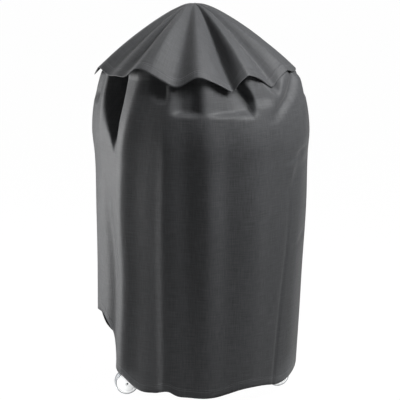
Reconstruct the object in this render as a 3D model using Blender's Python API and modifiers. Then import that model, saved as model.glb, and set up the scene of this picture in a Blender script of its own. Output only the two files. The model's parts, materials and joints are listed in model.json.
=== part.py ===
"""Kettle charcoal grill on three castors, under a fitted fabric weather cover.

Metres, +Z up. The origin is on the floor under the kettle's axis, the front is towards -Y and the
bowl's side handles lie on the X axis. Each object is one physical piece. A piece that moves is
parented to an empty that stands on its joint's axis.
"""

import math

import bmesh
import bpy
from mathutils import Matrix

# General clearances
GAP = 0.0003              # between pieces that touch
FACET_SPARE = 0.0002      # left over once the flat facets are cleared
TURN_STEPS = 32           # facets round a large turned piece

# Kettle
KETTLE_R = 0.225          # outside radius of the bowl and the lid
KETTLE_WALL = 0.0015
RIM_Z = 0.705             # top of the bowl's rolled rim
BOWL_DEPTH = 0.185        # of the full ellipse that the bowl follows
BOWL_FLAT_R = 0.070       # flat bottom that the damper turns on
RIM_BEAD = 0.005          # how far the rolled rim stands out, and its height
LID_HEIGHT = 0.205        # of the dome above its straight edge
LID_EDGE = 0.008          # straight edge between the rim and the dome
LID_LIP = 0.006           # how far the lid's lip hangs down outside the rim

# U-shaped handles: a bent rod with a turned grip
HANDLE_ROD_R = 0.004
HANDLE_HALF_SPAN = 0.050
HANDLE_BEND_R = 0.013
GRIP_HALF_LENGTH = 0.034
GRIP_R = 0.0090
LID_HANDLE_Z = RIM_Z + LID_EDGE + LID_HEIGHT + 0.056      # height of the lid handle's grip
SIDE_HANDLE_Z = RIM_Z - 0.030
SIDE_HANDLE_X = KETTLE_R + 0.030      # how far out a side handle's grip lies

# Lid fittings
SHIELD_Z = LID_HANDLE_Z - 0.048
SHIELD_SIZE = (0.132, 0.050, 0.0012)
THERMOMETER_TILT = 50.0   # degrees round the dome from its edge
THERMOMETER_R = 0.026
THERMOMETER_DEPTH = 0.011
PROBE_R = 0.0028
PROBE_LENGTH = 0.060
VENT_TILT = 52.0
VENT_AZIMUTH = 40.0
VENT_SEAT_R = 0.034
VENT_SEAT_RISE = 0.0010   # of the pressed flat above the dome
VENT_DISC_R = 0.033
VENT_DISC_T = 0.0012
VENT_HOLE_R = 0.0075
VENT_HOLE_CIRCLE_R = 0.0200
VENT_HOLES = 4
RIVET_R = 0.0025

# Grates
GRATE_RING_WIRE_R = 0.0030
GRATE_BAR_R = 0.0022
COOKING_GRATE_Z = RIM_Z - 0.029
COOKING_BAR_STEP = 0.0260
CHARCOAL_GRATE_RISE = 0.0508     # above the outside of the bowl's floor
CHARCOAL_BAR_STEP = 0.0300
GRATE_TAB = (0.018, 0.016, 0.0015)
GRATE_CLEARANCE = 0.003   # between the cooking grate and the bowl
LOOP_HALF_SPAN = 0.032
LOOP_RISE = 0.022
LOOP_BEND_R = 0.008
LOOP_WIRE_R = 0.0025

# Ash damper in the bowl's floor, and the ash pan under it
AIR_HOLE_R = 0.0120
AIR_HOLE_CIRCLE_R = 0.0420
AIR_HOLES = 3
DAMPER_MEAN_R = 0.0320
DAMPER_SWING_R = 0.0260   # the lobes reach this far past the mean radius
DAMPER_T = 0.0012
SHAFT_R = 0.0040
SHAFT_HEAD_R = 0.0075
SHAFT_DROP = 0.0230       # from the bowl's floor to the shaft's foot
LEVER_REACH = 0.1250
LEVER_HALF_WIDTH = 0.0065
LEVER_T = 0.0020
LEVER_AZIMUTH = -75.0
LEVER_SWEEP = 60.0
KNOB_R = 0.0090
COLLAR_R = 0.0850
COLLAR_WALL = 0.0020
COLLAR_DROP = 0.0532      # from the bowl's floor to the collar's lower edge
PAN_DEPTH = 0.058
PAN_OVERLAP = 0.009       # of the pan's rim over the collar
PAN_CLEARANCE = 0.0009
PAN_WALL = 0.0015
PAN_HANDLE_REACH = 0.036
PAN_HANDLE_ROD_R = 0.0030

# Stand
LEG_R = 0.0125
LEG_WALL = 0.0012
LEG_TOP_ANGLE = 49.18     # degrees round the bowl from its rim to the leg's top
LEG_TOP_AXIS_R = KETTLE_R - 0.047     # of the leg's axis from the kettle's axis, at its top
FOOT_AXIS_R = KETTLE_R - 0.012        # the same at the castor, whose swivel axis it is
FOOT_Z = 0.0750
SOCKET_LENGTH = 0.055
SOCKET_WALL = 0.0020
PLUG_LENGTH = 0.036
PLUG_FLANGE_T = 0.0022
SHELF_Z = 0.1580
SHELF_R = KETTLE_R - 0.041
SHELF_T = 0.0015
SHELF_RIM_H = 0.012
SHELF_EAR_T = 0.0030
SHELF_EAR_WALL = 0.0042
LEGS = {"left": 210.0, "right": 330.0, "rear": 90.0}      # azimuth of each leg

# Castors
WHEEL_R = 0.0300
WHEEL_STEPS = 24
WHEEL_WIDTH = 0.0155
WHEEL_BORE_R = 0.0026
AXLE_R = 0.0022
TRAIL = 0.0160            # from the swivel axis to the axle
WEB_HALF = 0.0055         # half thickness of the web between the wheels
WHEEL_CLEARANCE = 0.0005  # between a wheel and the web
WELL_R = 0.0315
HOOD_R = 0.0340
HOOD_FROM = 50.0          # degrees round the axle, from the trailing side
HOOD_TO = 186.0
WEB_R = 0.0240
BOSS_R = 0.0105
BOSS_TOP_Z = 0.0665
STEM_LOWER_R = 0.0035
STEM_UPPER_R = 0.0040
STEM_BOTTOM_Z = 0.0345
STEM_TOP_Z = 0.1080
STEM_FLANGE_R = 0.0090
STEM_FLANGE_T = 0.0030
STEM_CLEARANCE = 0.0004
TRAIL_DIRECTION = {"left": 180.0, "right": 0.0, "rear": 60.0}

# Weather cover
FABRIC_T = 0.0030
COVER_CLEARANCE = 0.0010  # between the skirt and the side handles, as the cover is lifted
COVER_TOP_Z = LID_HANDLE_Z + 0.0415
CAP_EDGE_R = KETTLE_R + 0.039
CAP_EDGE_Z = COVER_TOP_Z - 0.1655
CAP_SLOPE = 0.78          # of the cone that the cap runs out into
SKIRT_TOP_R = CAP_EDGE_R - 0.004
SKIRT_FLARE = 0.0135      # of the skirt at the rim, past its lower part
SKIRT_MAX_Z = RIM_Z - 0.015
SKIRT_MID_Z = RIM_Z - 0.370
HEM_Z = 0.0310
HEM_ARCH_Z = 0.0715       # top of the hem's arch over a castor
HEM_ARCH_CURVE_R = 0.200
SIDE_ARCH_AZIMUTH = 160.0
SIDE_ARCH_Z = 0.190       # the hem rides up this far on the left
SIDE_ARCH_CURVE_R = 0.180

# Worked out from the sizes above
AXLE_Z = WHEEL_R * math.cos(math.pi / WHEEL_STEPS)
FACET = KETTLE_R * (1 - math.cos(math.pi / TURN_STEPS)) + FACET_SPARE
DOME_BASE_Z = RIM_Z + LID_EDGE
BOWL_FLOOR_Z = RIM_Z - BOWL_DEPTH * math.sqrt(1 - (BOWL_FLAT_R / KETTLE_R) ** 2)
FLOOR_TOP_Z = BOWL_FLOOR_Z + KETTLE_WALL
CHARCOAL_GRATE_Z = BOWL_FLOOR_Z + CHARCOAL_GRATE_RISE
COLLAR_BOTTOM_Z = BOWL_FLOOR_Z - COLLAR_DROP
LEG_TOP_Z = RIM_Z - BOWL_DEPTH * math.sin(math.radians(LEG_TOP_ANGLE))
LEG_LEAN = math.atan2(FOOT_AXIS_R - LEG_TOP_AXIS_R, LEG_TOP_Z - FOOT_Z)
LEG_LENGTH = (LEG_TOP_Z - FOOT_Z) / math.cos(LEG_LEAN)
SIDE_HANDLE_REACH = math.hypot(SIDE_HANDLE_X + GRIP_R, GRIP_HALF_LENGTH)
SKIRT_BORE_R = (SIDE_HANDLE_REACH + COVER_CLEARANCE) / math.cos(math.pi / TURN_STEPS)
SKIRT_LOW_R = SKIRT_BORE_R + FABRIC_T
SKIRT_MAX_R = SKIRT_LOW_R + SKIRT_FLARE
TURN_TO_X = Matrix.Rotation(math.pi / 2, 3, "Y")
SHELL_GROUP = "kettle_grill"
CUTTER_GROUP = "cutters"

FINISHES = {
    # name: (red, green, blue, roughness, metallic)
    "cover_fabric": (0.075, 0.077, 0.082, 0.85, 0.0),
    "enamel": (0.012, 0.012, 0.013, 0.20, 0.0),
    "steel": (0.55, 0.55, 0.54, 0.35, 1.0),
    "grip_wood": (0.30, 0.14, 0.06, 0.60, 0.0),
    "leg_paint": (0.020, 0.020, 0.022, 0.45, 0.0),
    "grey_plastic": (0.50, 0.51, 0.52, 0.45, 0.0),
    "black_plastic": (0.020, 0.020, 0.020, 0.50, 0.0),
    "aluminium": (0.75, 0.75, 0.76, 0.40, 1.0),
    "dial_white": (0.85, 0.85, 0.82, 0.50, 0.0),
    "lens_glass": (0.90, 0.93, 0.95, 0.05, 0.0),
}


# Scene and object helpers

def clear_scene():
    """Removes what the scene holds and makes the two groups."""
    for obj in list(bpy.data.objects):
        bpy.data.objects.remove(obj)
    for name in (SHELL_GROUP, CUTTER_GROUP):
        bpy.context.scene.collection.children.link(bpy.data.collections.new(name))


def make_finishes():
    for name, (red, green, blue, roughness, metallic) in FINISHES.items():
        finish = bpy.data.materials.new(name)
        finish.use_nodes = True
        shader = finish.node_tree.nodes["Principled BSDF"]
        shader.inputs["Base Color"].default_value = (red, green, blue, 1)
        shader.inputs["Roughness"].default_value = roughness
        shader.inputs["Metallic"].default_value = metallic


def add(name, data, finish, parent=None, at=(0, 0, 0), turn=(0, 0, 0)):
    """Links a mesh or a curve as a part, or as a hidden cutter when it has no finish."""
    obj = bpy.data.objects.new(name, data)
    bpy.data.collections[SHELL_GROUP if finish else CUTTER_GROUP].objects.link(obj)
    if finish:
        data.materials.append(bpy.data.materials[finish])
    else:
        obj.hide_render = True
        obj.display_type = "WIRE"
    obj.parent = parent
    obj.location = at
    obj.rotation_euler = turn
    return obj


def joint(name, parent=None, at=(0, 0, 0), turn=(0, 0, 0)):
    """An empty on a joint's axis, or on the frame that a group of pieces is placed in."""
    empty = bpy.data.objects.new(name, None)
    bpy.data.collections[SHELL_GROUP].objects.link(empty)
    empty.empty_display_size = 0.05
    empty.parent = parent
    empty.location = at
    empty.rotation_euler = turn
    return empty


def combine(obj, tool, operation="DIFFERENCE"):
    """Cuts obj with tool, or joins or intersects the two."""
    step = obj.modifiers.new(operation.lower(), "BOOLEAN")
    step.operation = operation
    step.object = tool
    return obj


# Shapes

def turned(name, profile, finish, steps=TURN_STEPS, **place):
    """Turns (radius, height) points about local Z. They run down the outer side, top to bottom."""
    mesh = bpy.data.meshes.new(name)
    count = len(profile)
    edges = [(i, i + 1) for i in range(count - 1)]
    if profile[0][0] > 0:
        edges.append((count - 1, 0))
    mesh.from_pydata([(radius, 0, height) for radius, height in profile], edges, [])
    obj = add(name, mesh, finish, **place)
    screw = obj.modifiers.new("turn", "SCREW")
    screw.steps = steps
    screw.render_steps = steps
    screw.use_merge_vertices = True
    screw.merge_threshold = 0.00001
    screw.use_smooth_shade = True
    return obj


def cylinders(name, rods, finish, segments=24, **place):
    """Round bars along local Z, each (x, y, low z, high z, radius), in one mesh."""
    shape = bmesh.new()
    for x, y, low, high, radius in rods:
        made = bmesh.ops.create_cone(
            shape, cap_ends=True, segments=segments, radius1=radius, radius2=radius, depth=high - low
        )
        bmesh.ops.translate(shape, verts=made["verts"], vec=(x, y, (low + high) / 2))
    return add(name, finished_mesh(name, shape), finish, **place)


def finished_mesh(name, shape):
    mesh = bpy.data.meshes.new(name)
    shape.to_mesh(mesh)
    shape.free()
    mesh.shade_smooth()
    mesh.set_sharp_from_angle(angle=math.radians(35))
    return mesh


def block(name, low, high, finish, **place):
    """A box between two corners."""
    shape = bmesh.new()
    made = bmesh.ops.create_cube(shape, size=1)
    bmesh.ops.scale(shape, verts=made["verts"], vec=[b - a for a, b in zip(low, high)])
    bmesh.ops.translate(shape, verts=made["verts"], vec=[(a + b) / 2 for a, b in zip(low, high)])
    return add(name, finished_mesh(name, shape), finish, **place)


def poly_curve(name, outlines, cyclic):
    """A curve with one straight-sided spline for each list of points."""
    curve = bpy.data.curves.new(name, "CURVE")
    for points in outlines:
        spline = curve.splines.new("POLY")
        spline.points.add(len(points) - 1)
        for place, point in zip(spline.points, points):
            place.co = (*point, *[0] * (3 - len(point)), 1)
        spline.use_cyclic_u = cyclic
    return curve


def plate(name, outlines, thickness, finish, **place):
    """A flat plate in local XY, half its thickness on each side. Later outlines are its holes."""
    curve = poly_curve(name, outlines, cyclic=True)
    curve.dimensions = "2D"
    curve.fill_mode = "BOTH"
    curve.extrude = thickness / 2
    return add(name, curve, finish, **place)


def rod(name, points, radius, finish, sides=2, cyclic=False, **place):
    """A round wire through the points, with filled caps."""
    curve = poly_curve(name, [points], cyclic)
    curve.dimensions = "3D"
    curve.bevel_depth = radius
    curve.bevel_resolution = sides
    curve.use_fill_caps = not cyclic
    return add(name, curve, finish, **place)


def as_mesh(source):
    """Replaces a curve object with a mesh one, caps welded, so that it can be cut and can cut."""
    bpy.context.view_layer.update()
    graph = bpy.context.evaluated_depsgraph_get()
    mesh = bpy.data.meshes.new_from_object(source.evaluated_get(graph))
    shape = bmesh.new()
    shape.from_mesh(mesh)
    bmesh.ops.remove_doubles(shape, verts=shape.verts, dist=0.00001)
    shape.to_mesh(mesh)
    shape.free()
    name, group = source.name, source.users_collection[0]
    solid = bpy.data.objects.new(name, mesh)
    group.objects.link(solid)
    solid.hide_render = source.hide_render
    solid.display_type = source.display_type
    solid.parent = source.parent
    solid.location = source.location
    solid.rotation_euler = source.rotation_euler
    bpy.data.objects.remove(source)
    solid.name = name
    return solid


# Outlines

def circle(radius, count=24, centre=(0, 0)):
    return arc(radius, 0, 360 * (1 - 1 / count), count, centre)


def arc(radius, start, end, count, centre=(0, 0)):
    """Points on a circle, from the start angle to the end angle in degrees."""
    steps = [math.radians(start + (end - start) * i / (count - 1)) for i in range(count)]
    return [(centre[0] + radius * math.cos(a), centre[1] + radius * math.sin(a)) for a in steps]


def bowl_arc(inset, lowest_r, count=8):
    """The bowl's ellipse, set in by inset, from its rim down to where its radius is lowest_r."""
    radius, depth = KETTLE_R - inset, BOWL_DEPTH - inset
    end = math.acos(lowest_r / radius)
    angles = [end * i / (count - 1) for i in range(count)]
    return [(radius * math.cos(a), RIM_Z - depth * math.sin(a)) for a in angles]


def bowl_radius(z, inset=0.0):
    """Radius of the bowl's faceted wall at a height between its rim and its floor."""
    points = bowl_arc(inset, BOWL_FLAT_R)
    for (upper_r, upper), (lower_r, lower) in zip(points, points[1:]):
        if z >= lower:
            break
    return lower_r + (upper_r - lower_r) * (z - lower) / (upper - lower)


def bowl_underside(radius):
    """Height of the bowl's outer surface at a radius."""
    return RIM_Z - BOWL_DEPTH * math.sqrt(1 - (radius / KETTLE_R) ** 2)


def dome_arc(inset, count=9):
    """The lid's ellipse, set in by inset, from its top down to its straight edge."""
    radius, height = KETTLE_R - inset, LID_HEIGHT - inset
    angles = [math.pi / 2 * (1 - i / (count - 1)) for i in range(count)]
    points = [(radius * math.cos(a), DOME_BASE_Z + height * math.sin(a)) for a in angles]
    return [(0, DOME_BASE_Z + height)] + points[1:]


def dome_place(tilt, azimuth):
    """Where a fitting sits on the dome, as (at, turn), with local Z along the dome's normal."""
    a = math.radians(tilt)
    turn = math.radians(azimuth)
    radius, height = KETTLE_R * math.cos(a), LID_HEIGHT * math.sin(a)
    slope = math.atan2(math.sin(a) / LID_HEIGHT, math.cos(a) / KETTLE_R)
    at = (radius * math.cos(turn), radius * math.sin(turn), DOME_BASE_Z + height)
    return at, (0, math.pi / 2 - slope, turn)


def cap_height(radius):
    """A cone with a rounded tip: a hyperbola through the apex and the cap's edge."""
    fall = COVER_TOP_Z - CAP_EDGE_Z
    rounding = ((CAP_SLOPE * CAP_EDGE_R) ** 2 - fall**2) / (2 * fall)
    return COVER_TOP_Z + rounding - math.hypot(CAP_SLOPE * radius, rounding)


def leg_axis_r(z):
    """Distance of a leg's axis from the kettle's axis at a height."""
    return FOOT_AXIS_R - (z - FOOT_Z) * math.tan(LEG_LEAN)


def polar(radius, azimuth, z=0.0):
    a = math.radians(azimuth)
    return radius * math.cos(a), radius * math.sin(a), z


# Spaces that pieces are trimmed to

def bowl_space():
    """What the bowl's outer surface takes up, with the gap round it."""
    profile = [(0, RIM_Z + 0.01), (KETTLE_R + GAP, RIM_Z + 0.01)]
    profile += bowl_arc(-GAP, BOWL_FLAT_R)
    profile.append((0, profile[-1][1]))
    return turned("bowl_space", profile, None)


def dome_space():
    """What the lid's outer surface takes up, with the gap round it."""
    profile = dome_arc(-GAP) + [(KETTLE_R + GAP, RIM_Z), (0, RIM_Z)]
    return turned("dome_space", profile, None)


# Kettle bowl

def bowl_shell():
    """Enamelled bowl: rolled rim, curved wall and a flat floor with the air holes."""
    outer = bowl_arc(0, BOWL_FLAT_R)[1:]
    inner = bowl_arc(KETTLE_WALL, BOWL_FLAT_R)[:0:-1]
    bore = SHAFT_R + STEM_CLEARANCE
    rim = [
        (KETTLE_R - KETTLE_WALL, RIM_Z),
        (KETTLE_R + RIM_BEAD - 0.001, RIM_Z),
        (KETTLE_R + RIM_BEAD, RIM_Z - 0.001),
        (KETTLE_R + RIM_BEAD, RIM_Z - RIM_BEAD + 0.001),
        (KETTLE_R + RIM_BEAD - 0.001, RIM_Z - RIM_BEAD),
        (KETTLE_R, RIM_Z - RIM_BEAD),
    ]
    floor = [(bore, BOWL_FLOOR_Z), (bore, inner[0][1])]
    shell = turned("bowl_shell", rim + outer + floor + inner, "enamel")
    places = [polar(AIR_HOLE_CIRCLE_R, 360 / AIR_HOLES * i)[:2] for i in range(AIR_HOLES)]
    holes = [(x, y, BOWL_FLOOR_Z - 0.01, FLOOR_TOP_Z + 0.01, AIR_HOLE_R) for x, y in places]
    return combine(shell, cylinders("air_holes", holes, None, segments=16))


def handle(name, parent, at, turn, reach, wall_space):
    """A U-shaped handle in local XZ: its rod's feet stand on a wall and a grip is on its bar."""
    near, far = HANDLE_HALF_SPAN - HANDLE_BEND_R, reach - HANDLE_BEND_R
    side = [(x, 0, z) for x, z in arc(HANDLE_BEND_R, 0, 90, 5, (near, far))]
    path = [(HANDLE_HALF_SPAN, 0, -0.03)] + side
    path += [(-x, y, z) for x, y, z in reversed(path)]
    bracket = rod(f"{name}_bracket", path, HANDLE_ROD_R, "steel", parent=parent, at=at, turn=turn)
    combine(as_mesh(bracket), wall_space)
    bore, half = HANDLE_ROD_R + GAP + 0.0002, GRIP_HALF_LENGTH
    profile = [
        (bore, half),
        (GRIP_R * 0.8, half),
        (GRIP_R, half * 0.6),
        (GRIP_R, -half * 0.6),
        (GRIP_R * 0.8, -half),
        (bore, -half),
    ]
    frame = joint(f"{name}_frame", parent, at, turn)
    turned(
        f"{name}_grip", profile, "grip_wood", 16,
        parent=frame, at=(0, 0, reach), turn=(0, math.pi / 2, 0),
    )


def bowl_handles(wall_space):
    """The two side handles, low enough to clear the lid's lip."""
    wall = bowl_radius(SIDE_HANDLE_Z)
    for name, azimuth in (("left", 180), ("right", 0)):
        turn = (0, math.pi / 2, math.radians(azimuth))
        frame = joint(f"bowl_handle_{name}_seat", None, polar(wall, azimuth, SIDE_HANDLE_Z), turn)
        handle(
            f"bowl_handle_{name}", frame, (0, 0, 0), (0, 0, math.pi / 2),
            SIDE_HANDLE_X - wall, wall_space,
        )


def grate_tabs():
    """Three tabs inside the bowl that the cooking grate rests on."""
    width, depth, thick = GRATE_TAB
    top = COOKING_GRATE_Z - GRATE_RING_WIRE_R - GAP
    wall = bowl_radius(top - thick, KETTLE_WALL) - GAP - FACET
    for number, azimuth in enumerate((30, 150, 270), 1):
        low, high = (wall - depth, -width / 2, top - thick), (wall, width / 2, top)
        block(f"grate_tab_{number}", low, high, "enamel", turn=(0, 0, math.radians(azimuth)))


# Lid

def lid_shell(lift):
    """Domed lid whose lip hangs outside the bowl's rim, with a pressed flat for the vent."""
    lip_out, lip_in = KETTLE_R + RIM_BEAD + 0.0028, KETTLE_R + RIM_BEAD + 0.0012
    seat = RIM_Z + GAP
    edge = [
        (KETTLE_R + 0.002, seat + 0.0042),
        (lip_out, seat + 0.0027),
        (lip_out, RIM_Z - LID_LIP),
        (lip_in, RIM_Z - LID_LIP),
        (lip_in, seat),
        (KETTLE_R - KETTLE_WALL, seat),
    ]
    shell = turned(
        "lid_shell", dome_arc(0) + edge + dome_arc(KETTLE_WALL)[::-1], "enamel", parent=lift
    )
    at, turn = dome_place(VENT_TILT, VENT_AZIMUTH)
    place = {"parent": lift, "at": at, "turn": turn}
    seat_pad = cylinders("vent_seat", [(0, 0, -0.008, VENT_SEAT_RISE, VENT_SEAT_R)], None, **place)
    middle = KETTLE_WALL / 2
    inner = dome_arc(middle) + [(KETTLE_R - middle, RIM_Z), (0, RIM_Z)]
    combine(seat_pad, turned("dome_middle", inner, None, parent=lift))
    combine(shell, seat_pad, "UNION")
    places = [polar(VENT_HOLE_CIRCLE_R, 360 / VENT_HOLES * i)[:2] for i in range(VENT_HOLES)]
    holes = [(x, y, -0.02, 0.01, VENT_HOLE_R) for x, y in places]
    holes.append((0, 0, -0.02, 0.01, RIVET_R + GAP))
    combine(shell, cylinders("vent_holes", holes, None, segments=16, **place))
    at, turn = dome_place(THERMOMETER_TILT, -90)
    hole = [(0, 0, -0.02, 0.01, PROBE_R + STEM_CLEARANCE)]
    return combine(shell, cylinders("probe_hole", hole, None, 12, parent=lift, at=at, turn=turn))


def lid_handle(lift, wall_space):
    """Handle on the dome's top, with a plate under the grip that keeps the heat off the hand."""
    foot = DOME_BASE_Z + LID_HEIGHT * math.sqrt(1 - (HANDLE_HALF_SPAN / KETTLE_R) ** 2)
    handle("lid_handle", lift, (0, 0, foot), (0, 0, 0), LID_HANDLE_Z - foot, wall_space)
    length, width, thick = SHIELD_SIZE
    corner = 0.012
    far, wide = length / 2 - corner, width / 2 - corner
    outline = []
    for x, y, start in ((far, wide, 0), (-far, wide, 90), (-far, -wide, 180), (far, -wide, 270)):
        outline += arc(corner, start, start + 90, 4, (x, y))
    post_r = HANDLE_ROD_R + 2 * GAP
    posts = [circle(post_r, 12, (x, 0)) for x in (-HANDLE_HALF_SPAN, HANDLE_HALF_SPAN)]
    plate("lid_heat_shield", [outline, *posts], thick, "steel", parent=lift, at=(0, 0, SHIELD_Z))


def thermometer(lift, wall_space):
    """Round case with a probe through the lid, a dial and a glass in its mouth."""
    at, turn = dome_place(THERMOMETER_TILT, -90)
    frame = joint("thermometer_frame", lift, at, turn)
    rim, depth = THERMOMETER_R, THERMOMETER_DEPTH
    mouth = rim - 0.0025
    outside = [(0, depth), (rim - 0.0008, depth), (rim, depth - 0.0010), (rim, -0.004), (0, -0.004)]
    case = turned("thermometer_case", outside, "steel", 32, parent=frame)
    combine(case, wall_space)
    recess = cylinders("dial_recess", [(0, 0, 0.0045, depth + 0.01, mouth)], None, 32, parent=frame)
    combine(case, recess)
    probe = cylinders("probe_rod", [(0, 0, -PROBE_LENGTH, 0.003, PROBE_R)], None, 12, parent=frame)
    combine(case, probe, "UNION")
    face = mouth - GAP
    cylinders("thermometer_dial", [(0, 0, 0.0048, 0.0058, face)], "dial_white", 32, parent=frame)
    cylinders(
        "thermometer_lens", [(0, 0, depth - 0.0022, depth - 0.0006, face)], "lens_glass", 32,
        parent=frame,
    )


def lid_vent(lift):
    """Turning disc over the lid's vent holes, with a tab to push, and the rivet it turns on."""
    at, turn = dome_place(VENT_TILT, VENT_AZIMUTH)
    frame = joint("lid_vent_turn", lift, at, turn)
    bottom = VENT_SEAT_RISE + GAP
    top = bottom + VENT_DISC_T
    offset = 180 / VENT_HOLES
    holes = [
        circle(VENT_HOLE_R, 14, polar(VENT_HOLE_CIRCLE_R, offset + 360 / VENT_HOLES * i)[:2])
        for i in range(VENT_HOLES)
    ]
    holes.append(circle(RIVET_R + GAP, 12))
    half_tab, reach = 0.007, VENT_DISC_R + 0.014
    edge = math.degrees(math.asin(half_tab / VENT_DISC_R))
    outline = arc(VENT_DISC_R, edge, 360 - edge, 30) + [(reach, -half_tab), (reach, half_tab)]
    plate(
        "lid_vent_disc", [outline, *holes], VENT_DISC_T, "aluminium",
        parent=frame, at=(0, 0, (top + bottom) / 2),
    )
    head, tail = RIVET_R * 2.4, -0.0042
    rivet = [
        (0, top + GAP + 0.0016),
        (head * 0.6, top + GAP + 0.0014),
        (head, top + GAP + 0.0004),
        (head, top + GAP),
        (RIVET_R, top + GAP),
        (RIVET_R, tail),
        (0, tail),
    ]
    turned("lid_vent_rivet", rivet, "steel", 12, parent=frame)


# Grates

def grate(name, parent, z, ring_r, bar_step, finish):
    """A ring of wire, parallel bars that end in it and two cross bars under them, welded."""
    count = int(ring_r * 0.92 // bar_step)
    half_facet = 180 / TURN_STEPS
    hoop = arc(ring_r, half_facet, 360 - half_facet, TURN_STEPS)
    hoop = [(x, y, 0) for x, y in hoop]
    ring = as_mesh(rod(name, hoop, GRATE_RING_WIRE_R, finish, 1, True, parent=parent, at=(0, 0, z)))
    bars, cross = bmesh.new(), bmesh.new()
    for number in range(-count, count + 1):
        add_bar(bars, number * bar_step, ring_r, GRATE_BAR_R)
    for y in (-ring_r * 0.45, ring_r * 0.45):
        add_bar(cross, y, ring_r - GRATE_RING_WIRE_R / 2, GRATE_RING_WIRE_R)
    across = (0, 0, math.pi / 2)
    high, low = z + GRATE_BAR_R / 4, z - GRATE_RING_WIRE_R
    bars = add(f"{name}_bars", finished_mesh(f"{name}_bars", bars), None, parent, (0, 0, high))
    mesh = finished_mesh(f"{name}_cross", cross)
    cross = add(f"{name}_cross", mesh, None, parent, (0, 0, low), across)
    combine(ring, bars, "UNION")
    return combine(ring, cross, "UNION")


def add_bar(shape, y, ring_r, radius):
    """A bar along X whose ends lie in the middle of the ring's wire."""
    length = 2 * math.sqrt(ring_r**2 - y**2)
    made = bmesh.ops.create_cone(
        shape, cap_ends=True, segments=6, radius1=radius, radius2=radius, depth=length
    )
    bmesh.ops.rotate(shape, verts=made["verts"], matrix=TURN_TO_X)
    bmesh.ops.translate(shape, verts=made["verts"], vec=(0, y, 0))


def cooking_grate(lift):
    """Grate over the fire, with two wire loops on its ring to lift it by."""
    ring_r = bowl_radius(COOKING_GRATE_Z, KETTLE_WALL) - GRATE_RING_WIRE_R - GRATE_CLEARANCE
    grate("cooking_grate", lift, COOKING_GRATE_Z, ring_r, COOKING_BAR_STEP, "steel")
    side = arc(LOOP_BEND_R, 0, 90, 4, (LOOP_HALF_SPAN - LOOP_BEND_R, LOOP_RISE - LOOP_BEND_R))
    loop = [(LOOP_HALF_SPAN, GRATE_RING_WIRE_R + GAP)] + side
    loop += [(-x, z) for x, z in reversed(loop)]
    foot = math.sqrt(ring_r**2 - LOOP_HALF_SPAN**2)
    for number, sign in ((1, -1), (2, 1)):
        path = [(x, sign * foot, z) for x, z in loop]
        name = f"cooking_grate_handle_{number}"
        rod(name, path, LOOP_WIRE_R, "steel", 1, parent=lift, at=(0, 0, COOKING_GRATE_Z))


def charcoal_grate(lift):
    """Grate that the coals lie on. It rests on the bowl's slope."""
    low = CHARCOAL_GRATE_Z - GRATE_RING_WIRE_R
    ring_r = bowl_radius(low, KETTLE_WALL) - GRATE_RING_WIRE_R - FACET
    grate("charcoal_grate", lift, CHARCOAL_GRATE_Z, ring_r, CHARCOAL_BAR_STEP, "steel")


# Damper and ash pan

def damper():
    """Three-lobed plate over the air holes, its shaft through the floor, and a lever below."""
    turn = joint("bowl_damper_turn", None, (0, 0, BOWL_FLOOR_Z))
    low = KETTLE_WALL + 0.0005
    lobes = [math.radians(i * 7.5) for i in range(48)]
    outline = [
        (r * math.cos(a), r * math.sin(a))
        for a in lobes
        for r in [DAMPER_MEAN_R + DAMPER_SWING_R * math.cos(AIR_HOLES * a)]
    ]
    hole = circle(SHAFT_R + GAP, 12)
    blades_at = (0, 0, low + DAMPER_T / 2)
    plate("damper_blades", [outline, hole], DAMPER_T, "aluminium", parent=turn, at=blades_at)
    head_low = low + DAMPER_T + GAP
    foot = -SHAFT_DROP
    shaft = [
        (0, head_low + 0.0025),
        (SHAFT_HEAD_R, head_low + 0.0025),
        (SHAFT_HEAD_R, head_low),
        (SHAFT_R, head_low),
        (SHAFT_R, foot + 0.002),
        (SHAFT_HEAD_R, foot + 0.002),
        (SHAFT_HEAD_R, foot),
        (0, foot),
    ]
    turned("damper_shaft", shaft, "steel", 16, parent=turn)
    azimuth = math.radians(LEVER_AZIMUTH)
    lever_z = foot + 0.002 + GAP + LEVER_T / 2
    bar = arc(LEVER_HALF_WIDTH + 0.003, 90, 270, 9)
    bar += arc(LEVER_HALF_WIDTH, -90, 90, 9, (LEVER_REACH, 0))
    place = {"parent": turn, "at": (0, 0, lever_z), "turn": (0, 0, azimuth)}
    plate("damper_lever", [bar, hole], LEVER_T, "steel", **place)
    knob_top = lever_z - LEVER_T / 2 - GAP
    knob = [
        (0, knob_top),
        (KNOB_R * 0.6, knob_top),
        (KNOB_R * 0.6, knob_top - 0.003),
        (KNOB_R, knob_top - 0.006),
        (KNOB_R, knob_top - 0.012),
        (KNOB_R * 0.7, knob_top - 0.015),
        (0, knob_top - 0.015),
    ]
    x, y, _ = polar(LEVER_REACH, LEVER_AZIMUTH)
    turned("damper_knob", knob, "black_plastic", 16, parent=turn, at=(x, y, 0))
    return lever_z


def ash_collar(lever_z):
    """Ring under the bowl that holds the ash pan, with a window that the lever swings in."""
    inner = COLLAR_R - COLLAR_WALL
    top = bowl_underside(inner) - GAP
    ring = [(inner, top), (COLLAR_R, top), (COLLAR_R, COLLAR_BOTTOM_Z), (inner, COLLAR_BOTTOM_Z)]
    collar = turned("ash_collar", ring, "leg_paint", 32)
    spare = 10
    start, end = LEVER_AZIMUTH - spare, LEVER_AZIMUTH + LEVER_SWEEP + spare
    sector = [(0, 0)] + arc(COLLAR_R * 1.3, start, end, 9)
    height = 0.016
    window = plate("lever_window", [sector], height, None, at=(0, 0, BOWL_FLOOR_Z + lever_z))
    return combine(collar, as_mesh(window))


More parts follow.
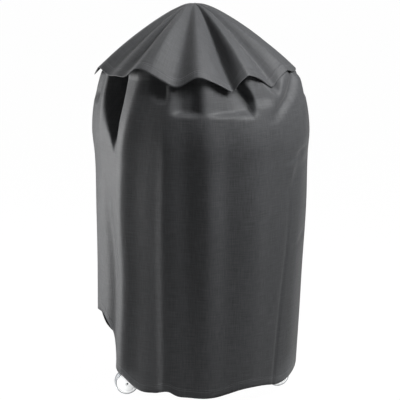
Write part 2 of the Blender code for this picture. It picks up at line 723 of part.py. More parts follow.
def ash_pan():
    """Pan that drops off the collar, with a wire handle at the front."""
    top = COLLAR_BOTTOM_Z + PAN_OVERLAP
    drop = joint("ash_pan_drop", None, (0, 0, top))
    rim_in = COLLAR_R + PAN_CLEARANCE
    rim_out = rim_in + PAN_WALL
    low_r = COLLAR_R * 0.72
    profile = [
        (rim_in, 0),
        (rim_out, 0),
        (rim_out, -PAN_DEPTH * 0.72),
        (low_r + 0.008, -PAN_DEPTH + 0.002),
        (low_r, -PAN_DEPTH),
        (0, -PAN_DEPTH),
        (0, -PAN_DEPTH + PAN_WALL),
        (low_r, -PAN_DEPTH + PAN_WALL),
        (low_r + 0.008 - PAN_WALL, -PAN_DEPTH + 0.0035),
        (rim_in, -PAN_DEPTH * 0.72 + 0.001),
    ]
    turned("ash_pan", profile[6:] + profile[:6], "aluminium", 24, parent=drop)
    half, bend = 0.028, 0.010
    near = math.sqrt((rim_out + GAP) ** 2 - (half - PAN_HANDLE_ROD_R) ** 2)
    side = [(x, -y) for x, y in arc(bend, 0, 90, 4, (half - bend, near + PAN_HANDLE_REACH - bend))]
    path = [(half, -near)] + side
    path += [(-x, y) for x, y in reversed(path)]
    rod(
        "ash_pan_handle", [(x, y, 0) for x, y in path], PAN_HANDLE_ROD_R, "steel",
        parent=drop, at=(0, 0, -PAN_OVERLAP - 0.012),
    )


# Stand

def leg_frame(side, azimuth):
    """Frame at a leg's foot, with local Z up along the leaning leg."""
    turn = (0, -LEG_LEAN, math.radians(azimuth))
    return joint(f"leg_{side}_frame", None, polar(FOOT_AXIS_R, azimuth, FOOT_Z), turn)


def leg(side, azimuth, wall_space):
    """Steel tube, the socket on the bowl that takes its top, and the plug in its foot."""
    frame = leg_frame(side, azimuth)
    inner = LEG_R - LEG_WALL
    pipe = [(inner, LEG_LENGTH), (LEG_R, LEG_LENGTH), (LEG_R, 0), (inner, 0)]
    turned(f"leg_{side}", pipe, "leg_paint", 20, parent=frame)
    bore, outer = LEG_R + GAP, LEG_R + GAP + SOCKET_WALL
    low, high = LEG_LENGTH - SOCKET_LENGTH, LEG_LENGTH + 0.055
    sleeve = [(bore, high), (outer, high), (outer, low), (bore, low)]
    combine(turned(f"leg_socket_{side}", sleeve, "enamel", 20, parent=frame), wall_space)
    plug_r = inner - GAP
    plug = [
        (0, PLUG_LENGTH),
        (plug_r - 0.001, PLUG_LENGTH),
        (plug_r, PLUG_LENGTH - 0.001),
        (plug_r, -GAP),
        (LEG_R, -GAP),
        (LEG_R, -GAP - PLUG_FLANGE_T),
        (0, -GAP - PLUG_FLANGE_T),
    ]
    return turned(f"leg_plug_{side}", plug, "black_plastic", 20, parent=frame)


def lower_shelf():
    """Pressed tray between the legs. Each of its ears has a hole that a leg passes through."""
    rim_top = SHELF_Z + SHELF_RIM_H
    profile = [
        (SHELF_R - SHELF_T, rim_top),
        (SHELF_R, rim_top),
        (SHELF_R, SHELF_Z + 0.002),
        (SHELF_R - 0.002, SHELF_Z),
        (0, SHELF_Z),
        (0, SHELF_Z + SHELF_T),
        (SHELF_R - 0.0025, SHELF_Z + SHELF_T),
        (SHELF_R - SHELF_T, SHELF_Z + SHELF_T + 0.001),
    ]
    tray = turned("lower_shelf", profile[5:] + profile[:5], "leg_paint")
    hole_r = LEG_R / math.cos(LEG_LEAN) + 0.0009
    ear_r = hole_r + SHELF_EAR_WALL
    ear_top = SHELF_Z + SHELF_EAR_T
    ear_at = leg_axis_r(SHELF_Z + SHELF_EAR_T / 2)
    for side, azimuth in LEGS.items():
        turn = (0, 0, math.radians(azimuth))
        root_r = SHELF_R - 0.008
        outline = [(root_r, -ear_r), *arc(ear_r, -90, 90, 11, (ear_at, 0)), (root_r, ear_r)]
        ear = plate(
            f"ear_{side}", [outline, circle(hole_r, 20, (ear_at, 0))], SHELF_EAR_T, None,
            at=(0, 0, (SHELF_Z + ear_top) / 2), turn=turn,
        )
        combine(tray, as_mesh(ear), "UNION")
    slots = []
    for number in range(6):
        x, y, _ = polar(SHELF_R * 0.62, 30 + 60 * number)
        slots.append((x, y, SHELF_Z - 0.01, SHELF_Z + 0.008, 0.014))
    return combine(tray, cylinders("drain_holes", slots, None, segments=12))


# Castors

def castor(side, azimuth, plug):
    """Twin-wheel castor: a stem fixed in the leg, a housing that swivels on it, and two wheels."""
    name = f"castor_{side}"
    swivel = joint(
        f"{name}_swivel", None, polar(FOOT_AXIS_R, azimuth), (0, 0, math.radians(TRAIL_DIRECTION[side]))
    )
    stem(name, swivel)
    bore = [(0, 0, BOSS_TOP_Z, STEM_TOP_Z + 0.02, STEM_UPPER_R + STEM_CLEARANCE)]
    combine(plug, cylinders(f"{name}_plug_bore", bore, None, 12, parent=swivel))
    castor_housing(name, swivel)
    across = (math.pi / 2, 0, 0)
    axle_at = (TRAIL, 0, AXLE_Z)
    half = WEB_HALF + WHEEL_CLEARANCE + WHEEL_WIDTH - 0.001
    cylinders(
        f"{name}_axle", [(0, 0, -half, half, AXLE_R)], "steel", 12, parent=swivel, at=axle_at, turn=across
    )
    for number, angle in ((1, math.pi / 2), (2, -math.pi / 2)):
        spin = joint(f"{name}_wheel_{number}_spin", swivel, axle_at, (angle, 0, 0))
        castor_wheel(f"{name}_wheel_{number}", spin)


def stem(name, swivel):
    flange_low = BOSS_TOP_Z + 0.0005
    flange_top = flange_low + STEM_FLANGE_T
    profile = [
        (0, STEM_TOP_Z),
        (STEM_UPPER_R, STEM_TOP_Z),
        (STEM_UPPER_R, flange_top),
        (STEM_FLANGE_R, flange_top),
        (STEM_FLANGE_R, flange_low),
        (STEM_LOWER_R, flange_low),
        (STEM_LOWER_R, STEM_BOTTOM_Z),
        (0, STEM_BOTTOM_Z),
    ]
    turned(f"{name}_stem", profile, "steel", 12, parent=swivel)


def castor_housing(name, swivel):
    """Web between the wheels, a hood over them and a boss that the stem turns in."""
    across = (math.pi / 2, 0, 0)
    axle = (TRAIL, AXLE_Z)
    half_width = WEB_HALF + WHEEL_CLEARANCE + WHEEL_WIDTH - 0.002
    sector = [axle] + arc(HOOD_R, HOOD_FROM, HOOD_TO, 10, axle)
    body = as_mesh(
        plate(f"{name}_housing", [sector], 2 * half_width, "grey_plastic", parent=swivel, turn=across)
    )
    place = {"parent": swivel, "at": (TRAIL, 0, AXLE_Z), "turn": across}
    web = cylinders(f"{name}_web", [(0, 0, -WEB_HALF, WEB_HALF, WEB_R)], None, 18, **place)
    boss = cylinders(f"{name}_boss", [(0, 0, AXLE_Z + 0.018, BOSS_TOP_Z, BOSS_R)], None, 16, parent=swivel)
    combine(body, web, "UNION")
    combine(body, boss, "UNION")
    wells = [(0, 0, -0.05, -WEB_HALF, WELL_R), (0, 0, WEB_HALF, 0.05, WELL_R)]
    combine(body, cylinders(f"{name}_wells", wells, None, 24, **place))
    stem_bore = [(0, 0, STEM_BOTTOM_Z - GAP, BOSS_TOP_Z + 0.01, STEM_LOWER_R + GAP)]
    combine(body, cylinders(f"{name}_stem_bore", stem_bore, None, 12, parent=swivel))
    axle_bore = [(0, 0, -0.05, 0.05, AXLE_R + 0.0002)]
    return combine(body, cylinders(f"{name}_axle_bore", axle_bore, None, 12, **place))


def castor_wheel(name, spin):
    """Wheel with a flat tread and a domed outer face. A facet of its tread lies on the floor."""
    low = WEB_HALF + WHEEL_CLEARANCE
    high = low + WHEEL_WIDTH
    profile = [
        (WHEEL_BORE_R, high),
        (0.018, high - 0.0012),
        (WHEEL_R, high - 0.0070),
        (WHEEL_R, low),
        (WHEEL_BORE_R, low),
    ]
    turned(name, profile, "grey_plastic", WHEEL_STEPS, parent=spin, turn=(0, 0, math.pi / WHEEL_STEPS))


# Weather cover

def cover_cap(lift):
    """Conical top of the cover, one wall of fabric, with its edge hanging past the skirt."""
    drop = FABRIC_T * math.hypot(1, CAP_SLOPE)
    rings = 6
    outer_radii = [CAP_EDGE_R * i / rings for i in range(rings + 1)]
    inner_radii = outer_radii[:-1] + [CAP_EDGE_R - FABRIC_T * 0.4]
    outer = [(radius, cap_height(radius)) for radius in outer_radii]
    inner = [(radius, cap_height(radius) - drop) for radius in reversed(inner_radii)]
    turned("cover_cap", outer + inner, "cover_fabric", parent=lift)


def skirt_points():
    """The skirt's outside, from under the cap's edge down to the hem, as (radius, height)."""
    top_z = cap_height(SKIRT_TOP_R) - FABRIC_T * math.hypot(1, CAP_SLOPE) - GAP
    return [
        (SKIRT_TOP_R, top_z),
        ((SKIRT_TOP_R + SKIRT_MAX_R) / 2 - 0.003, SKIRT_MAX_Z + (top_z - SKIRT_MAX_Z) * 0.62),
        (SKIRT_MAX_R - 0.005, SKIRT_MAX_Z + 0.050),
        (SKIRT_MAX_R, SKIRT_MAX_Z),
        (SKIRT_MAX_R - 0.0035, SKIRT_MAX_Z - 0.050),
        ((SKIRT_MAX_R + SKIRT_LOW_R) / 2, (SKIRT_MAX_Z + SKIRT_MID_Z) / 2),
        (SKIRT_LOW_R, SKIRT_MID_Z),
        (SKIRT_LOW_R, HEM_Z),
    ]


def cover_skirt(lift):
    """Long side of the cover, wide enough to be lifted past the side handles.

    Its hem arches over each castor and rides up on the left.
    """
    outer = skirt_points()
    inner = [(radius - FABRIC_T, z) for radius, z in reversed(outer)]
    skirt = turned("cover_skirt", outer + inner, "cover_fabric", parent=lift)
    arches = [(azimuth, HEM_ARCH_Z, HEM_ARCH_CURVE_R) for azimuth in LEGS.values()]
    arches.append((SIDE_ARCH_AZIMUTH, SIDE_ARCH_Z, SIDE_ARCH_CURVE_R))
    for number, (azimuth, top, radius) in enumerate(arches, 1):
        tool = cylinders(
            f"hem_arch_{number}", [(0, 0, 0.1, 0.4, radius)], None, 44,
            parent=lift, at=(0, 0, top - radius), turn=(0, math.pi / 2, math.radians(azimuth)),
        )
        combine(skirt, tool)
    return skirt


def main():
    clear_scene()
    make_finishes()
    bowl_wall = bowl_space()
    bowl_shell()
    bowl_handles(bowl_wall)
    grate_tabs()

    lid_lift = joint("lid_lift")
    dome_wall = dome_space()
    lid_shell(lid_lift)
    lid_handle(lid_lift, dome_wall)
    thermometer(lid_lift, dome_wall)
    lid_vent(lid_lift)

    cooking_grate(joint("cooking_grate_lift"))
    charcoal_grate(joint("charcoal_grate_lift"))

    lever_z = damper()
    ash_collar(lever_z)
    ash_pan()

    for side, azimuth in LEGS.items():
        plug = leg(side, azimuth, bowl_wall)
        castor(side, azimuth, plug)
    lower_shelf()

    cover_lift = joint("cover_lift")
    cover_cap(cover_lift)
    cover_skirt(cover_lift)


main()
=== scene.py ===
"""Kettle charcoal grill under its fitted weather cover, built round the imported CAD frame.

The cover's cap and skirt are surfaces worked out from their folds. The grill inside is rebuilt as
fine turned, bent and pressed pieces, and every finish is a node material named for what it is.
"""

import json
import math

import bmesh
import bpy
import numpy as np
from bpy.props import FloatProperty, PointerProperty, StringProperty
from mathutils import Matrix, Vector


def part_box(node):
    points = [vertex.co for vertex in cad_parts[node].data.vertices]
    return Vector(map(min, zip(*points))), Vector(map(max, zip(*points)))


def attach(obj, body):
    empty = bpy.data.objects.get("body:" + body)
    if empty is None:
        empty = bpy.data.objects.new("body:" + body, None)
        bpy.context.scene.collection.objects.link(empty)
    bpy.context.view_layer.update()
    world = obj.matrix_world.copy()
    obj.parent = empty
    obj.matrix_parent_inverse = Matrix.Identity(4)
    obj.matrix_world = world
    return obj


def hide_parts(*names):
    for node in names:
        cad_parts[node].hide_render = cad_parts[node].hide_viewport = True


bl_info = {
    "name": "Covered Kettle Grill",
    "version": (1, 0, 0),
    "blender": (4, 5, 0),
    "location": "View3D > Sidebar > Grill",
    "description": "Builds a kettle grill on castors under a woven weather cover",
    "category": "Add Mesh",
}

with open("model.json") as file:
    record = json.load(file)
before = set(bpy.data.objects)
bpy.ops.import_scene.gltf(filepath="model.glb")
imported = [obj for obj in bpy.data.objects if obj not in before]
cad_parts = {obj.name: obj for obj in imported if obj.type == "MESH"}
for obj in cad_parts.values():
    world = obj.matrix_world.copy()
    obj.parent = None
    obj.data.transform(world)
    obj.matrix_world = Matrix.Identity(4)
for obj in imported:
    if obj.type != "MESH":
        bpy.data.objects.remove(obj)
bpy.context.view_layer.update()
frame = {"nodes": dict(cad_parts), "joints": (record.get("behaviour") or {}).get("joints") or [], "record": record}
NODES = frame["nodes"]
BODY_OF = {
    node: body
    for body, members in frame["record"]["behaviour"]["bodies"].items()
    for node in members
}
SLOT_OF = {row["node"]: row["material_slot"] for row in frame["record"]["subparts"]}
JOINTS = {joint["name"]: joint for joint in frame["joints"]}

MM = 0.001
FRONT = 261.0             # azimuth that the front of the cover looks to, in degrees
SIDES = ("left", "right", "rear")

# Kettle, from the CAD boxes
KETTLE_R = 0.225
RIM_Z = 0.705
DOME_BASE_Z = 0.713
DOME_HEIGHT = 0.205
BOWL_DEPTH = 0.185
WALL = 0.0015
HANDLE_HALF = 0.050       # half the distance between the feet of a U handle
HANDLE_BEND = 0.013
HANDLE_ROD_R = 0.004

# Cover
COVER_TOP_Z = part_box("cover_cap")[1].z
CAP_EDGE_R = 0.264
CAP_FALL = 0.1655         # from the apex to the cap's edge
CAP_SLOPE = 0.78
CAP_CROWN = 0.020         # how far the cap bulges past a straight cone between apex and edge
CAP_SLANT = CAP_EDGE_R * 1.28         # length of cloth from the apex to the edge, over the folds
CLOTH_T = 1.3 * MM
SAG = 11.5 * MM           # how far the slack cloth hangs below the CAD cover
TURNS = 480               # columns round the cover
CLOTH_ROUND = 2 * math.pi * 0.27      # length of the cloth round the cover
HEM = 22.0 * MM           # width of the folded and stitched edges
TUCK = 0.018              # how far the skirt's top goes up inside the cap
CAP_GAP = 0.006           # between the skirt and the cap's edge
KETTLE_GAP = 0.004        # between the skirt and the kettle where it is drawn in

SHARP_ANGLE = 35.0        # edges of a turned piece that are steeper than this stay crisp
WIRE_SIDES = 20


# Curves and folds

def flow(x, knots):
    """Smooth curve through (place, value) knots: a cubic from each knot to the next, whose slope at
    a knot is that of its two neighbours. Past the first and the last knot it keeps their value."""
    at, value = np.array(knots, float).T
    slope = np.gradient(value, at)
    x = np.clip(x, at[0], at[-1])
    low = np.clip(np.searchsorted(at, x, side="right") - 1, 0, len(at) - 2)
    step = at[low + 1] - at[low]
    t = (x - at[low]) / step
    start = (1 + 2 * t) * (1 - t) ** 2 * value[low] + t * (1 - t) ** 2 * step * slope[low]
    end = t**2 * (3 - 2 * t) * value[low + 1] - t**2 * (1 - t) * step * slope[low + 1]
    return start + end


def around(azimuth, centre):
    """Signed angle from centre to azimuth, in degrees, from -180 to 180."""
    return (azimuth - centre + 180.0) % 360.0 - 180.0


def rise(x, low, high):
    """0 below low, 1 above high, and an S-curve between."""
    t = np.clip((x - low) / (high - low), 0.0, 1.0)
    return t * t * (3 - 2 * t)


def fold(azimuth, height, path, sharp=2.0):
    """Depth of one fold over the cloth. Its line, its two widths and its depth are each a smooth
    curve of height through the path's knots (height, azimuth, width left, width right, depth), and
    across the line the depth falls off as exp(-(distance / width) ** sharp)."""
    z, centre, left, right, depth = zip(*path)
    off = around(azimuth, flow(height, list(zip(z, centre))))
    width = np.where(off < 0, flow(height, list(zip(z, left))), flow(height, list(zip(z, right))))
    return flow(height, list(zip(z, depth))) * np.exp(-np.abs(off / width) ** sharp)


def smaller(first, second, blend):
    """The smaller of two values, rounded over where they cross."""
    middle, half = (first + second) / 2, (first - second) / 2
    return middle - np.hypot(half, blend / 2)


def kettle_radius(z):
    """Outside radius of the closed kettle at a height: an ellipse each side of the rim."""
    up = np.clip((z - DOME_BASE_Z) / DOME_HEIGHT, 0, 1)
    down = np.clip((RIM_Z - z) / BOWL_DEPTH, 0, 1)
    radius = KETTLE_R * np.sqrt(1 - np.maximum(up, down) ** 2)
    lip = np.exp(-(((z - RIM_Z) / 0.016) ** 4)) * (KETTLE_R + 0.010)
    return np.maximum(radius, lip)


# Meshes

def in_scene(name, data):
    """A new object in the scene."""
    made = bpy.data.objects.new(name, data)
    bpy.context.scene.collection.objects.link(made)
    return made


def new_piece(name, vertices, faces, finish, body, maps=None):
    """A smooth mesh object from arrays, with its finish, its body and its own UV maps."""
    data = bpy.data.meshes.new(name)
    data.from_pydata(np.asarray(vertices, float).tolist(), [], faces)
    data.validate()
    for label, uv in (maps or {}).items():
        layer = data.uv_layers.new(name=label)
        layer.data.foreach_set("uv", corner_uv(data, uv).ravel())
    data.polygons.foreach_set("use_smooth", [True] * len(data.polygons))
    data.materials.append(finish)
    piece = in_scene(name, data)
    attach(piece, body)
    return piece


def corner_uv(data, uv):
    """Each face corner's place in the cloth. A face across the rear seam goes on past it."""
    vertex = np.empty(len(data.loops), np.int32)
    data.loops.foreach_get("vertex_index", vertex)
    sides = np.empty(len(data.polygons), np.int32)
    data.polygons.foreach_get("loop_total", sides)
    at = np.array(uv, np.float32)[vertex]
    face = np.repeat(np.arange(len(sides)), sides)
    widest = np.zeros(len(sides), np.float32)
    np.maximum.at(widest, face, at[:, 0])
    at[:, 0] += CLOTH_ROUND * (widest[face] - at[:, 0] > CLOTH_ROUND / 2)
    return at


def quads(rows, columns, wrap_rows=False):
    """Faces of a grid whose columns close on themselves, and whose rows may too."""
    last = rows if wrap_rows else rows - 1
    row, column = np.meshgrid(np.arange(last), np.arange(columns), indexing="ij")
    below, beside = (row + 1) % rows, (column + 1) % columns
    corners = [row * columns + column, below * columns + column, below * columns + beside,
               row * columns + beside]
    return np.stack(corners, -1).reshape(-1, 4)


def fan(start, tip, columns, flip):
    """Triangles from a ring of vertices to one tip vertex."""
    ring = start + np.arange(columns)
    beside = start + (np.arange(columns) + 1) % columns
    tips = np.full(columns, tip)
    return np.stack([beside, ring, tips] if flip else [ring, beside, tips], -1)


def turned(name, profile, finish, body, place=None, steps=96):
    """A profile of (radius, height) points turned about local Z: x = r cos a, y = r sin a. A first
    or last point on the axis closes its end with a fan; otherwise the profile is a closed loop.
    The profile runs up the outside and down the inside, so that faces look outwards."""
    profile = np.array(profile, float)
    tip_first, tip_last = profile[0, 0] == 0, profile[-1, 0] == 0
    inner = profile[int(tip_first):len(profile) - int(tip_last)]
    angle = np.linspace(0, 2 * np.pi, steps, endpoint=False)
    ring = np.stack([np.cos(angle), np.sin(angle)], -1)
    xy = inner[:, None, :1] * ring[None]
    z = np.broadcast_to(inner[:, None, 1:], (*xy.shape[:2], 1))
    vertices = np.concatenate([xy, z], -1).reshape(-1, 3)
    faces = quads(len(inner), steps, not (tip_first or tip_last))[:, ::-1].tolist()
    if tip_first:
        faces += fan(0, len(vertices), steps, True).tolist()
        vertices = np.vstack([vertices, (0, 0, profile[0, 1])])
    if tip_last:
        faces += fan((len(inner) - 1) * steps, len(vertices), steps, False).tolist()
        vertices = np.vstack([vertices, (0, 0, profile[-1, 1])])
    piece = new_piece(name, vertices, faces, finish, body)
    if place is not None:
        piece.data.transform(place)
    keep_edges(piece, SHARP_ANGLE)
    return piece


def keep_edges(piece, angle):
    """Marks the edges that are steeper than the angle sharp, so that smooth shading stops there."""
    shape = bmesh.new()
    shape.from_mesh(piece.data)
    for edge in shape.edges:
        edge.smooth = edge.calc_face_angle(0.0) < math.radians(angle)
    shape.to_mesh(piece.data)
    shape.free()


def merged_copy(node, finish, bevel=0.0, angle=38.0):
    """A CAD node's shape as one welded mesh with smooth faces and, if asked for, broken edges."""
    shape = bmesh.new()
    shape.from_mesh(NODES[node].data)
    bmesh.ops.remove_doubles(shape, verts=shape.verts, dist=1e-6)
    bmesh.ops.dissolve_limit(
        shape, angle_limit=math.radians(0.3), verts=shape.verts, edges=shape.edges
    )
    for edge in shape.edges:
        edge.smooth = edge.calc_face_angle(0.0) < math.radians(angle)
    data = bpy.data.meshes.new(f"{node}_fine")
    shape.to_mesh(data)
    shape.free()
    data.polygons.foreach_set("use_smooth", [True] * len(data.polygons))
    data.materials.clear()
    data.materials.append(finish)
    piece = in_scene(f"{node}_fine", data)
    if bevel:
        cut = piece.modifiers.new("Broken edges", "BEVEL")
        cut.width = bevel
        cut.segments = 2
        cut.limit_method = "ANGLE"
        cut.angle_limit = math.radians(50)
        cut.harden_normals = True
    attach(piece, BODY_OF[node])
    stand_for(node)


def ring_of_holes(count, ring_r, hole_r):
    """Holes (x, y, radius) spaced evenly on a ring."""
    turn = [math.radians(360 * i / count) for i in range(count)]
    return [(ring_r * math.cos(a), ring_r * math.sin(a), hole_r) for a in turn]


def drill(piece, holes, place):
    """Cuts round holes (x, y, radius) through a piece, along local Z of the place."""
    shape = bmesh.new()
    for x, y, radius in holes:
        bmesh.ops.create_cone(
            shape, cap_ends=True, segments=40, radius1=radius, radius2=radius, depth=0.04,
            matrix=Matrix.Translation((x, y, 0)),
        )
    data = bpy.data.meshes.new("holes")
    shape.to_mesh(data)
    shape.free()
    data.transform(place)
    tool = in_scene("holes", data)
    cut = piece.modifiers.new("Holes", "BOOLEAN")
    cut.operation = "DIFFERENCE"
    cut.object = tool
    bpy.context.view_layer.update()
    graph = bpy.context.evaluated_depsgraph_get()
    piece.data = bpy.data.meshes.new_from_object(piece.evaluated_get(graph))
    piece.modifiers.clear()
    bpy.data.objects.remove(tool)
    keep_edges(piece, SHARP_ANGLE)


def wire(name, path, across, radius, finish, body):
    """Round bar along a flat path: each ring is centre + radius (n cos a + (t x n) sin a), with t
    along the path and n square to its plane. Fans close the ends."""
    path, across = np.array(path, float), np.array(across, float)
    along = np.gradient(path, axis=0)
    along /= np.linalg.norm(along, axis=1, keepdims=True)
    turn = np.linspace(0, 2 * np.pi, WIRE_SIDES, endpoint=False)[None, :, None]
    side = np.cross(along, across)[:, None]
    rings = path[:, None] + radius * (across * np.cos(turn) + side * np.sin(turn))
    vertices = np.vstack([rings.reshape(-1, 3), path[0], path[-1]])
    faces = quads(len(path), WIRE_SIDES)[:, ::-1].tolist()
    faces += fan(0, len(vertices) - 2, WIRE_SIDES, True).tolist()
    last = (len(path) - 1) * WIRE_SIDES
    faces += fan(last, len(vertices) - 1, WIRE_SIDES, False).tolist()
    piece = new_piece(name, vertices, faces, finish, body)
    shape = bmesh.new()
    shape.from_mesh(piece.data)
    bmesh.ops.recalc_face_normals(shape, faces=shape.faces)
    shape.to_mesh(piece.data)
    shape.free()
    keep_edges(piece, 50.0)
    return piece


def u_path(half, low, high, bend):
    """A U on its head in (across, up): two feet at low, two quarter bends and a bar at high."""
    turn = np.radians(np.linspace(0, 90, 9))
    bends = np.stack([half - bend + bend * np.cos(turn), high - bend + bend * np.sin(turn)], -1)
    leg = np.stack([np.full(4, half), np.linspace(low, high - bend, 4, endpoint=False)], -1)
    right = np.vstack([leg, bends])
    bar = np.stack([np.linspace(half - bend, bend - half, 6)[1:-1], np.full(4, high)], -1)
    return np.vstack([right, bar, right[::-1] * (-1, 1)])


def stand_for(node):
    """Hides this node, which a new piece replaces."""
    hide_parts(node)


# Materials

def colour(code):
    """An sRGB hex colour as linear RGBA."""
    parts = [int(code[i:i + 2], 16) / 255 for i in (1, 3, 5)]
    linear = [c / 12.92 if c <= 0.04045 else ((c + 0.055) / 1.055) ** 2.4 for c in parts]
    return (*linear, 1.0)


def shade(code, step):
    """An sRGB hex colour lighter by a step in each channel, or darker where it is negative."""
    parts = [min(255, max(0, int(code[i:i + 2], 16) + step)) for i in (1, 3, 5)]
    return "#" + "".join(f"{part:02x}" for part in parts)


def add_node(tree, kind, inputs=None, **settings):
    """One node with its settings. An input that is a socket is linked, any other is its value."""
    made = tree.nodes.new(f"ShaderNode{kind}")
    for key, value in settings.items():
        setattr(made, key, value)
    for key, value in (inputs or {}).items():
        if isinstance(value, bpy.types.NodeSocket):
            tree.links.new(value, made.inputs[key])
        else:
            made.inputs[key].default_value = value
    return made


def finish_tree(name, **shader):
    """A new material, its node tree and its shader with constant values."""
    made = bpy.data.materials.new(name)
    made.use_nodes = True
    tree = made.node_tree
    bsdf = tree.nodes["Principled BSDF"]
    for key, value in shader.items():
        bsdf.inputs[key.replace("_", " ")].default_value = value
    return made, tree, bsdf


def ramp(tree, factor, low, high, start=0.0, end=1.0):
    """Two colours mixed by a factor that runs from start to end."""
    share = add_node(
        tree, "MapRange",
        {"Value": factor, "From Min": start, "From Max": end},
    )
    return add_node(
        tree, "Mix",
        {"Factor": share.outputs["Result"], "A": colour(low), "B": colour(high)},
        data_type="RGBA",
    ).outputs["Result"]


def grained(tree, bsdf, size, tones, relief, detail=2.0, stretch=(1, 1, 1), span=(0.3, 0.7)):
    """One noise on Object coordinates that turns both the colour and the relief of a finish. Size
    is the grain's width in metres, so the noise's scale is 1 / size; the stretch packs it closer
    along an axis; the relief is (height, strength); the span is where the tones start and end."""
    at = add_node(tree, "TexCoord").outputs["Object"]
    at = add_node(tree, "Mapping", {"Vector": at, "Scale": stretch}).outputs["Vector"]
    inputs = {"Vector": at, "Scale": 1 / size, "Detail": detail}
    grain = add_node(tree, "TexNoise", inputs).outputs["Fac"]
    tree.links.new(ramp(tree, grain, *tones, *span), bsdf.inputs["Base Color"])
    height, strength = relief
    inputs = {"Height": grain, "Distance": height, "Strength": strength}
    normal = add_node(tree, "Bump", inputs).outputs["Normal"]
    tree.links.new(normal, bsdf.inputs["Normal"])
    return grain


def weave_and_slubs(tree, cloth):
    """Threads each way, and slubs 2.4 mm wide and 38 mm long that run along them. Threads of
    0.5 mm are too fine to show, so they are drawn 2.4 mm apart. A Wave texture has a band per
    pitch at the scale 2 pi / (20 pitch)."""
    wide, long = 1 / (2.38 * MM), 1 / (38.46 * MM)
    pitch = 2 * math.pi / (20 * 2.4 * MM)
    threads, slubs = [], []
    for way, stretch in (("X", (wide, long, 1)), ("Y", (long, wide, 1))):
        inputs = {"Vector": cloth, "Scale": pitch, "Distortion": 0.6}
        threads.append(add_node(tree, "TexWave", inputs, bands_direction=way).outputs["Fac"])
        at = add_node(tree, "Mapping", {"Vector": cloth, "Scale": stretch}).outputs["Vector"]
        inputs = {"Vector": at, "Scale": 1.0, "Detail": 3.0}
        slubs.append(add_node(tree, "TexNoise", inputs).outputs["Fac"])
    return [
        add_node(tree, "Math", {0: first, 1: second}, operation="ADD").outputs[0]
        for first, second in (threads, slubs)
    ]


def sewn_edge(tree):
    """Where the stitches of the folded edge are, 3.4 mm long and two thirds of it thread, and the
    relief of the fold, which ends at its raw edge and dips along the stitches."""
    at = add_node(tree, "UVMap", uv_map="Edge").outputs["UV"]
    edge = add_node(tree, "SeparateXYZ", {"Vector": at}).outputs
    row = add_node(
        tree, "Math", {0: edge["Y"], 1: HEM - 4 * MM, 2: 0.8 * MM}, operation="COMPARE"
    ).outputs[0]
    count = add_node(tree, "Math", {0: edge["X"], 1: 3.4 * MM}, operation="DIVIDE").outputs[0]
    step = add_node(tree, "Math", {0: count}, operation="FRACT").outputs[0]
    thread = add_node(tree, "Math", {0: step, 1: 0.66}, operation="LESS_THAN").outputs[0]
    stitch = add_node(tree, "Math", {0: row, 1: thread}, operation="MULTIPLY").outputs[0]
    folded = add_node(
        tree, "MapRange",
        {"Value": edge["Y"], "From Min": HEM, "From Max": HEM + 1.2 * MM, "To Min": 1.0,
         "To Max": 0.0},
    ).outputs["Result"]
    dip = add_node(tree, "Math", {0: row, 1: 0.4}, operation="MULTIPLY").outputs[0]
    relief = add_node(tree, "Math", {0: folded, 1: dip}, operation="SUBTRACT").outputs[0]
    return stitch, relief


def woven_polyester(tone):
    """600 denier polyester oxford with a coated back: dull threads, slubs, soft handling creases
    33 mm across, and folded edges sewn down with a row of stitches."""
    made, tree, bsdf = finish_tree(
        "woven_polyester", Roughness=0.60, Sheen_Weight=0.12, Sheen_Roughness=0.45,
        Specular_IOR_Level=0.38,
    )
    cloth = add_node(tree, "UVMap", uv_map="Cloth").outputs["UV"]
    weave, slubs = weave_and_slubs(tree, cloth)
    stitch, sewn = sewn_edge(tree)
    body = ramp(tree, slubs, *tone, 0.62, 1.38)
    inputs = {"Factor": stitch, "A": body, "B": colour("#525355")}
    face = add_node(tree, "Mix", inputs, data_type="RGBA").outputs["Result"]
    tree.links.new(face, bsdf.inputs["Base Color"])
    inputs = {"Vector": cloth, "Scale": 1 / (33.33 * MM), "Detail": 5.0, "Roughness": 0.62}
    creases = add_node(tree, "TexNoise", inputs).outputs["Fac"]
    normal = None
    for height, distance, strength in (
        (creases, 2.4 * MM, 0.42), (slubs, 0.5 * MM, 0.35), (weave, 0.2 * MM, 0.6),
        (sewn, 0.9 * MM, 0.8),
    ):
        inputs = {"Height": height, "Distance": distance, "Strength": strength}
        if normal:
            inputs["Normal"] = normal
        normal = add_node(tree, "Bump", inputs).outputs["Normal"]
    tree.links.new(normal, bsdf.inputs["Normal"])
    return made


def moulded_plastic(name, code, roughness):
    """Injection-moulded plastic: even colour, a very fine grain that softens its highlight. The
    mould's grit is too fine to show, so it is drawn 1.1 mm wide."""
    made, tree, bsdf = finish_tree(name, Roughness=roughness)
    grained(tree, bsdf, 1.11 * MM, (code, shade(code, 7)), (0.1 * MM, 0.25))
    return made


def metal(name, code, roughness, stretch=(1, 1, 1), strength=0.12):
    """Bare or plated metal, whose grain is duller in its dark lines. The stretch says which way it
    was worked. Scratches are too fine to show, so they are drawn 3 mm wide before the stretch."""
    made, tree, bsdf = finish_tree(name, Metallic=1.0)
    tones = (shade(code, -16), code)
    lines = grained(tree, bsdf, 3.125 * MM, tones, (0.1 * MM, strength), 4.0, stretch)
    spread = add_node(
        tree, "MapRange",
        {"Value": lines, "From Min": 0.3, "From Max": 0.7, "To Min": roughness * 0.8,
         "To Max": roughness * 1.25},
    ).outputs["Result"]
    tree.links.new(spread, bsdf.inputs["Roughness"])
    return made


